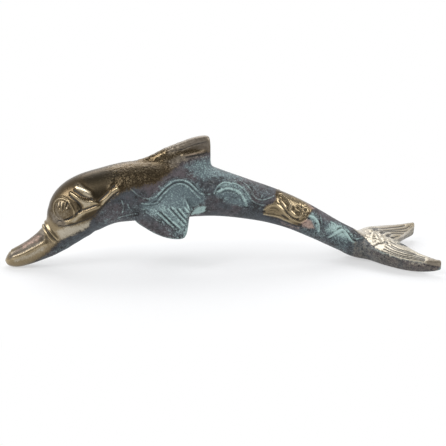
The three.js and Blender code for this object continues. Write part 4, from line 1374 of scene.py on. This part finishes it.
class Nodes:
    """Short ways to write a node tree."""

    def __init__(self, tree):
        self.tree = tree

    def feed(self, node, inputs):
        """Links inputs of a node to wires, or gives them values."""
        for name, value in inputs.items():
            socket = node.inputs[name]
            if isinstance(value, Wire):
                self.tree.links.new(value.socket, socket)
            else:
                socket.default_value = (*value, 1) if socket.type == "RGBA" else value

    def add(self, kind, inputs, output=0, **settings):
        """A wire from one of a new node's outputs."""
        node = self.tree.nodes.new(kind)
        for name, value in settings.items():
            setattr(node, name, value)
        self.feed(node, inputs)
        return Wire(self, node.outputs[output])

    def math(self, operation, first, second=0.0):
        return self.add("ShaderNodeMath", {0: first, 1: second}, operation=operation)

    def vector_math(self, operation, first, second=(0, 0, 0), output="Vector"):
        return self.add("ShaderNodeVectorMath", {0: first, 1: second}, output, operation=operation)

    def ramp(self, value, low, high):
        inputs = {"Value": value, "From Min": low, "From Max": high}
        return self.add("ShaderNodeMapRange", inputs, interpolation_type="SMOOTHSTEP")

    def mix(self, share, first, second):
        return self.add("ShaderNodeMix", {0: share, 6: first, 7: second}, 2, data_type="RGBA")

    def mask(self, name):
        return self.add("ShaderNodeAttribute", {}, 2, attribute_name=name)

    def noise(self, place, scale, detail, roughness=0.5):
        inputs = {"Vector": place, "Scale": scale, "Detail": detail, "Roughness": roughness}
        return self.add("ShaderNodeTexNoise", inputs)

    def bumped(self, height, strength, distance):
        return self.add("ShaderNodeBump", {"Strength": strength, "Distance": distance, "Height": height})


# The colours of the dolphin's settings, by the names of the inputs that they go to
COLOURS = {
    "Gold": "gold", "Umber": "umber", "Wax And Shade": "wax_and_shade", "Dull Metal": "dull", "Pale": "pale",
    "Violet": "violet", "Slate": "slate", "Black": "black", "Verdigris": "verdigris",
    "Crust": "verdigris_light", "Copper": "copper",
}


def bronze_group():
    """Metal, patina, dirt, and painted highlights and shade, mixed by the masks of a casting."""
    found = bpy.data.node_groups.get("Bronze Patina")
    if found:
        return found
    group = bpy.data.node_groups.new("Bronze Patina", "ShaderNodeTree")
    for way, kind, names in (
        ("INPUT", "NodeSocketColor", COLOURS),
        ("INPUT", "NodeSocketFloat", (*MASKS, "Grain")),
        ("OUTPUT", "NodeSocketColor", ("Base Color",)),
        ("OUTPUT", "NodeSocketFloat", ("Metallic", "Roughness", "Height")),
    ):
        for name in names:
            group.interface.new_socket(name, in_out=way, socket_type=kind)
    n = Nodes(group)
    given = {socket.name: Wire(n, socket) for socket in group.nodes.new("NodeGroupInput").outputs}
    place = n.add("ShaderNodeTexCoord", {}, "Object")
    drift = n.noise(place, 48.0, 3.0, 0.6)
    large = n.noise(place, 120.0, 4.0, 0.6)
    mottle = n.noise(place, 380.0, 5.0, 0.7)
    speck = n.noise(place, 1150.0, 3.0, 0.7)
    pits = n.add("ShaderNodeTexVoronoi", {"Vector": place, "Scale": 700.0, "Randomness": 1.0})

    # The masks with ragged edges
    unsure = mottle - 0.5
    grains = speck - 0.5
    ragged = unsure + grains
    polish = n.ramp(given["Polish"] + ragged * 1.3, 0.2, 0.8)
    green = n.ramp(given["Green"] + ragged * 1.7, 0.15, 0.95)
    copper = n.ramp(given["Bare Copper"] + ragged * 0.9, 0.25, 0.9)
    rub_and_highlight = n.ramp(given["Rub And Highlight"] + ragged * 0.8, 0.2, 0.95)
    dull = n.ramp(given["Dull"] + ragged * 0.8, 0.1, 0.9)
    waxed_and_shaded = n.ramp(given["Waxed And Shaded"] + ragged * 0.6, 0.1, 0.9)
    bright = n.ramp(given["Wear"] + ragged, 0.2, 1.0)
    edges = n.ramp(given["Wear"] + unsure * 0.6, 0.05, 0.95)
    dirt = n.ramp(given["Hollow"] + unsure * 0.4, 0.15, 0.95)
    flecks = n.ramp(speck, 0.54, 0.66)

    # Metal, with its painted highlights and painted shade
    cast = given["Pitted"] * 0.8 + 0.5
    tone = given["Bright"] + edges * 0.6 + grains * cast
    metal = n.mix(n.ramp(tone, 0.1, 1.2), given["Umber"], given["Gold"])
    metal = n.mix(dull * 0.85, metal, given["Dull Metal"])
    metal = n.mix(waxed_and_shaded, metal, given["Wax And Shade"])
    metal = n.mix(given["Pitted"] * (flecks * 0.45), metal, given["Gold"])
    metal = n.mix(rub_and_highlight, metal, given["Pale"])
    metal = n.mix(copper, metal, given["Copper"])

    # Patina
    stain = large + unsure * 0.9 + grains * 0.7
    brown = n.mix(n.ramp(drift, 0.42, 0.58), given["Slate"], given["Violet"])
    patina = n.mix(n.ramp(stain, 0.2, 0.62), given["Black"], brown)
    patchy = n.ramp(large * 0.7 + mottle * 0.3, 0.4, 0.56)
    worn = bright * (patchy * 0.6 + 0.4)
    dust = grains * 2.6 + unsure * 1.2 + worn * 0.65 + given["Dust"]
    crust = n.mix(n.ramp(dust, 0.0, 1.0), given["Verdigris"], given["Crust"])
    patina = n.mix(green, patina, crust)
    powder = flecks * (green * 0.16 + 0.06) + worn * 0.4
    patina = n.mix(powder, patina, given["Crust"])
    patina = n.mix(copper * 0.8, patina, given["Copper"])

    metallic = (polish * 0.78 + 0.12) * (1.0 - dirt * 0.8) * (1.0 - rub_and_highlight * 0.5) * (1.0 - dull * 0.45)
    rough = polish * -0.32 + 0.62 + grains * cast * 0.3 + dirt * 0.2 + (dull + waxed_and_shaded) * 0.14
    height = (mottle * 0.7 + speck * 0.35 + n.ramp(pits, 0.0, 0.35) * 0.25) * given["Grain"]
    n.feed(group.nodes.new("NodeGroupOutput"), {
        "Base Color": n.mix(dirt * 0.85, n.mix(polish, patina, metal), given["Black"]),
        "Metallic": metallic,
        "Roughness": rough - polish * given["Bright"] * 0.08,
        "Height": height * (1.0 - polish * (1.0 - given["Pitted"]) * 0.85),
    })
    return group


# How deep the cast grain of each finish is
GRAIN_DEPTHS = {
    "dark_patina": 1.0,
    "polished_bronze": 0.7,
    "verdigris_bronze": 1.2,
    "rubbed_bronze": 0.9,
}


# Strength and depth of the bump in cast and in turned metal
CAST_BUMP = (0.6, 0.4 * MM)
TURNED_BUMP = (0.3, 0.1 * MM)
# The brass of the fittings: its two tones, and how finely it is turned
BRASS_TONES = ((196, 172, 116), (150, 122, 74))
TURNED_SCALE = (400, 9000, 400)


def new_material(name):
    """A new material, its Principled shader, and short ways to write its tree."""
    material = bpy.data.materials.new(name)
    material.use_nodes = True
    return material, material.node_tree.nodes["Principled BSDF"], Nodes(material.node_tree)


def finish_material(slot):
    """The material of one of the record's finishes."""
    found = bpy.data.materials.get("cast " + slot)
    if found:
        return found
    material, shader, n = new_material("cast " + slot)
    group = n.tree.nodes.new("ShaderNodeGroup")
    group.node_tree = bronze_group()
    colours = bpy.context.scene.dolphin_colours
    n.feed(group, {name: getattr(colours, key) for name, key in COLOURS.items()})
    n.feed(group, {name: n.mask(key) for name, key in MASKS.items()})
    n.feed(group, {"Grain": GRAIN_DEPTHS[slot]})
    looks = {name: Wire(n, group.outputs[name]) for name in ("Base Color", "Metallic", "Roughness")}
    n.feed(shader, looks)
    n.feed(shader, {"Normal": n.bumped(Wire(n, group.outputs["Height"]), *CAST_BUMP)})
    return material


def brass_material():
    """Turned brass for the pins, washers and dowels."""
    material, shader, n = new_material("turned brass")
    place = n.add("ShaderNodeTexCoord", {}, "Object")
    lines = n.noise(n.vector_math("MULTIPLY", place, TURNED_SCALE), 1.0, 3.0)
    stain = n.noise(place, 600.0, 4.0)
    n.feed(shader, {
        "Base Color": n.mix(n.ramp(stain, 0.4, 0.7), *(srgb(*tone) for tone in BRASS_TONES)),
        "Metallic": 1.0,
        "Roughness": stain * 0.3 + 0.2,
        "Normal": n.bumped(lines, *TURNED_BUMP),
    })
    return material


class DolphinOperator(bpy.types.Operator):
    """What all the dolphin's operators share."""

    bl_options = {"REGISTER", "UNDO"}

    def execute(self, context):
        self.make(context.scene.dolphin_sizes)
        return {"FINISHED"}


class DOLPHIN_OT_clay(DolphinOperator):
    """Model the clay original that the castings are cut from"""

    bl_idname = "dolphin.clay"
    bl_label = "Clay Original"

    def make(self, sizes):
        model_clay(sizes)


class DOLPHIN_OT_eyes(DolphinOperator):
    """Cut out the two eye studs"""

    bl_idname = "dolphin.eyes"
    bl_label = "Eyes"

    def make(self, sizes):
        for hand, side in SIDES.items():
            node = "eye_" + hand
            finished(parted(node + "_stud", eye_space, sizes, side), "polished_bronze", [node])


class DOLPHIN_OT_band(DolphinOperator):
    """Cut out the double band round the root of the beak"""

    bl_idname = "dolphin.band"
    bl_label = "Beak Band"

    def make(self, sizes):
        finished(parted("beak_band_bead", band_space, sizes), "polished_bronze", ["beak_band"])


class DOLPHIN_OT_beak(DolphinOperator):
    """Cut off the beak at its joint with the head"""

    bl_idname = "dolphin.beak"
    bl_label = "Beak"

    def make(self, sizes):
        place, along = planes(sizes)[0]
        piece = cut_plane(clay_copy("beak_casting"), place, along)
        cut_plane(bpy.data.objects["clay"], place, -along)
        finished(piece, "polished_bronze", ["beak"])


class DOLPHIN_OT_flukes(DolphinOperator):
    """Cut off the flukes and part them on the middle plane"""

    bl_idname = "dolphin.flukes"
    bl_label = "Flukes"

    def make(self, sizes):
        place, along = planes(sizes)[1]
        for hand, side in SIDES.items():
            node = "fluke_" + hand
            piece = cut_plane(clay_copy(node + "_casting"), place, -along)
            cut_plane(piece, (0, 0, 0), (0, -side, 0))
            finished(piece, "rubbed_bronze", [node])
        cut_plane(bpy.data.objects["clay"], place, along)


class DOLPHIN_OT_dorsal(DolphinOperator):
    """Cut off the dorsal fin along the back"""

    bl_idname = "dolphin.dorsal_fin"
    bl_label = "Dorsal Fin"

    def make(self, sizes):
        finished(parted("dorsal_fin_casting", dorsal_space, sizes), "polished_bronze", ["dorsal_fin"])


class DOLPHIN_OT_pectorals(DolphinOperator):
    """Cut off the two pectoral fins along the flanks"""

    bl_idname = "dolphin.pectoral_fins"
    bl_label = "Pectoral Fins"

    def make(self, sizes):
        for hand, side in SIDES.items():
            node = "pectoral_fin_" + hand
            finished(parted(node + "_casting", pectoral_space, sizes, side), "verdigris_bronze", [node])


class DOLPHIN_OT_body(DolphinOperator):
    """Part what is left of the clay into the two half castings of the body"""

    bl_idname = "dolphin.body"
    bl_label = "Body Shells"

    def make(self, sizes):
        for hand, side in SIDES.items():
            node = "body_shell_" + hand
            piece = cut_plane(clay_copy(node + "_casting"), (0, 0, 0), (0, -side, 0))
            finished(piece, "dark_patina", [node])
        discard(bpy.data.objects["clay"])


class DOLPHIN_OT_fittings(DolphinOperator):
    """Give the pins, washers and dowels inside their brass"""

    bl_idname = "dolphin.fittings"
    bl_label = "Fittings"

    def make(self, sizes):
        brass = brass_material()
        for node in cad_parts.values():
            if not node.hide_render:
                node.data.materials.clear()
                node.data.materials.append(brass)


# The table's size and look, and how far out its fade into white starts and ends. Along X the fade is
# twice as long
TABLE_RADIUS = 4
TABLE_SIDES = 64
TABLE_COLOUR = (155, 156, 158)
TABLE_ROUGHNESS = 0.75
TABLE_GLOW = 0.51
FADE_SCALE = (0.5, 1, 1)
TABLE_FADE = (0.05, 0.145)


def make_table():
    """A pale table that takes the dolphin's shadow and fades into white."""
    bm = bmesh.new()
    bmesh.ops.create_circle(bm, cap_ends=True, segments=TABLE_SIDES, radius=TABLE_RADIUS)
    table = to_object("table", bm)
    material, shader, n = new_material("table")
    n.feed(shader, {
        "Base Color": srgb(*TABLE_COLOUR),
        "Roughness": TABLE_ROUGHNESS,
        "Emission Color": (1, 1, 1),
        "Emission Strength": TABLE_GLOW,
    })
    scaled = n.vector_math("MULTIPLY", n.add("ShaderNodeTexCoord", {}, "Object"), FADE_SCALE)
    far = n.ramp(n.vector_math("LENGTH", scaled, output="Value"), *TABLE_FADE)
    glow = n.add("ShaderNodeEmission", {})
    blend = n.add("ShaderNodeMixShader", {0: far, 1: Wire(n, shader.outputs["BSDF"]), 2: glow})
    n.feed(n.tree.nodes["Material Output"], {"Surface": blend})
    table.data.materials.append(material)


# The room's light from both sides, from the backdrop, and from all round
SIDE_LIGHT = 0.45
BACKDROP_LIGHT = 0.85
ROOM_LIGHT = 0.25


def make_world():
    """The room round the table. The camera sees it white, and its backdrop is white in metal too."""
    world = bpy.data.worlds.new("studio")
    bpy.context.scene.world = world
    world.use_nodes = True
    n = Nodes(world.node_tree)
    direction = n.add("ShaderNodeTexCoord", {}, "Generated")
    x, y, z = (n.add("ShaderNodeSeparateXYZ", {"Vector": direction}, axis) for axis in "XYZ")
    sides = n.ramp(n.math("ABSOLUTE", x), 0.35, 0.85) * SIDE_LIGHT
    wall = n.ramp(y, 0.1, 0.6) * (BACKDROP_LIGHT - z)
    light = n.math("MAXIMUM", sides, wall) + ROOM_LIGHT
    camera_ray, glossy_ray, through_ray = (
        n.add("ShaderNodeLightPath", {}, f"Is {kind} Ray") for kind in ("Camera", "Glossy", "Transmission")
    )
    seen = camera_ray + (glossy_ray + through_ray) * n.math("MAXIMUM", wall, 0.0)
    n.feed(n.tree.nodes["Background"], {"Color": n.mix(seen, light, (1, 1, 1))})


# The lamps: place and width in metres, and watts
LAMPS = {
    "left": ((-1.0, -0.2, 0.7), 0.5, 4.7),
    "front": ((-0.58, -0.48, 0.79), 0.38, 3.5),
    "right": ((1.0, -0.1, 0.75), 0.6, 6.6),
    "top": ((0.0, 0.65, 0.8), 0.9, 6.5),
}


def make_lamps():
    """Soft round lamps that look at the dolphin."""
    for name, (place, width, watts) in LAMPS.items():
        light = bpy.data.lights.new(name, "AREA")
        light.shape = "DISK"
        light.size = width
        light.energy = watts
        lamp = bpy.data.objects.new(name, light)
        bpy.context.scene.collection.objects.link(lamp)
        lamp.location = place
        lamp.rotation_euler = (Vector(AIM) - Vector(place)).to_track_quat("-Z", "Y").to_euler()


def make_camera():
    """The photograph's camera."""
    lens = bpy.data.cameras.new("camera")
    lens.sensor_width = SENSOR_MM
    lens.lens = SENSOR_MM * FOCAL_PIXELS / PHOTO_SIDE
    lens.clip_start = SEEN_FROM
    camera = bpy.data.objects.new("camera", lens)
    bpy.context.scene.collection.objects.link(camera)
    camera.matrix_world = Matrix(matrix_of(PHOTO.right, PHOTO.up, PHOTO.back, PHOTO.eye))
    bpy.context.scene.camera = camera


class DOLPHIN_OT_stage(DolphinOperator):
    """Lay the pale table and set the lamps and the camera"""

    bl_idname = "dolphin.stage"
    bl_label = "Stage"

    def make(self, sizes):
        bpy.context.scene.view_settings.view_transform = "Standard"
        make_table()
        make_world()
        make_lamps()
        make_camera()


class DOLPHIN_PT_panel(bpy.types.Panel):
    """The dolphin's pieces, sizes and colours"""

    bl_idname = "DOLPHIN_PT_panel"
    bl_label = "Bronze Dolphin"
    bl_space_type = "VIEW_3D"
    bl_region_type = "UI"
    bl_category = "Dolphin"

    def draw(self, context):
        for operator in PIECES:
            self.layout.operator(operator.bl_idname)
        for settings in (context.scene.dolphin_sizes, context.scene.dolphin_colours):
            column = self.layout.column()
            for name in settings.__annotations__:
                column.prop(settings, name)


PIECES = (
    DOLPHIN_OT_clay,
    DOLPHIN_OT_eyes,
    DOLPHIN_OT_band,
    DOLPHIN_OT_beak,
    DOLPHIN_OT_flukes,
    DOLPHIN_OT_dorsal,
    DOLPHIN_OT_pectorals,
    DOLPHIN_OT_body,
    DOLPHIN_OT_fittings,
    DOLPHIN_OT_stage,
)
CLASSES = (DolphinSizes, DolphinColours, *PIECES, DOLPHIN_PT_panel)


def register():
    for kind in CLASSES:
        bpy.utils.register_class(kind)
    bpy.types.Scene.dolphin_sizes = PointerProperty(type=DolphinSizes)
    bpy.types.Scene.dolphin_colours = PointerProperty(type=DolphinColours)


def unregister():
    del bpy.types.Scene.dolphin_colours
    del bpy.types.Scene.dolphin_sizes
    for kind in reversed(CLASSES):
        bpy.utils.unregister_class(kind)


def main():
    register()
    for operator in PIECES:
        group, name = operator.bl_idname.split(".")
        getattr(getattr(bpy.ops, group), name)()


if __name__ == "__main__":
    main()
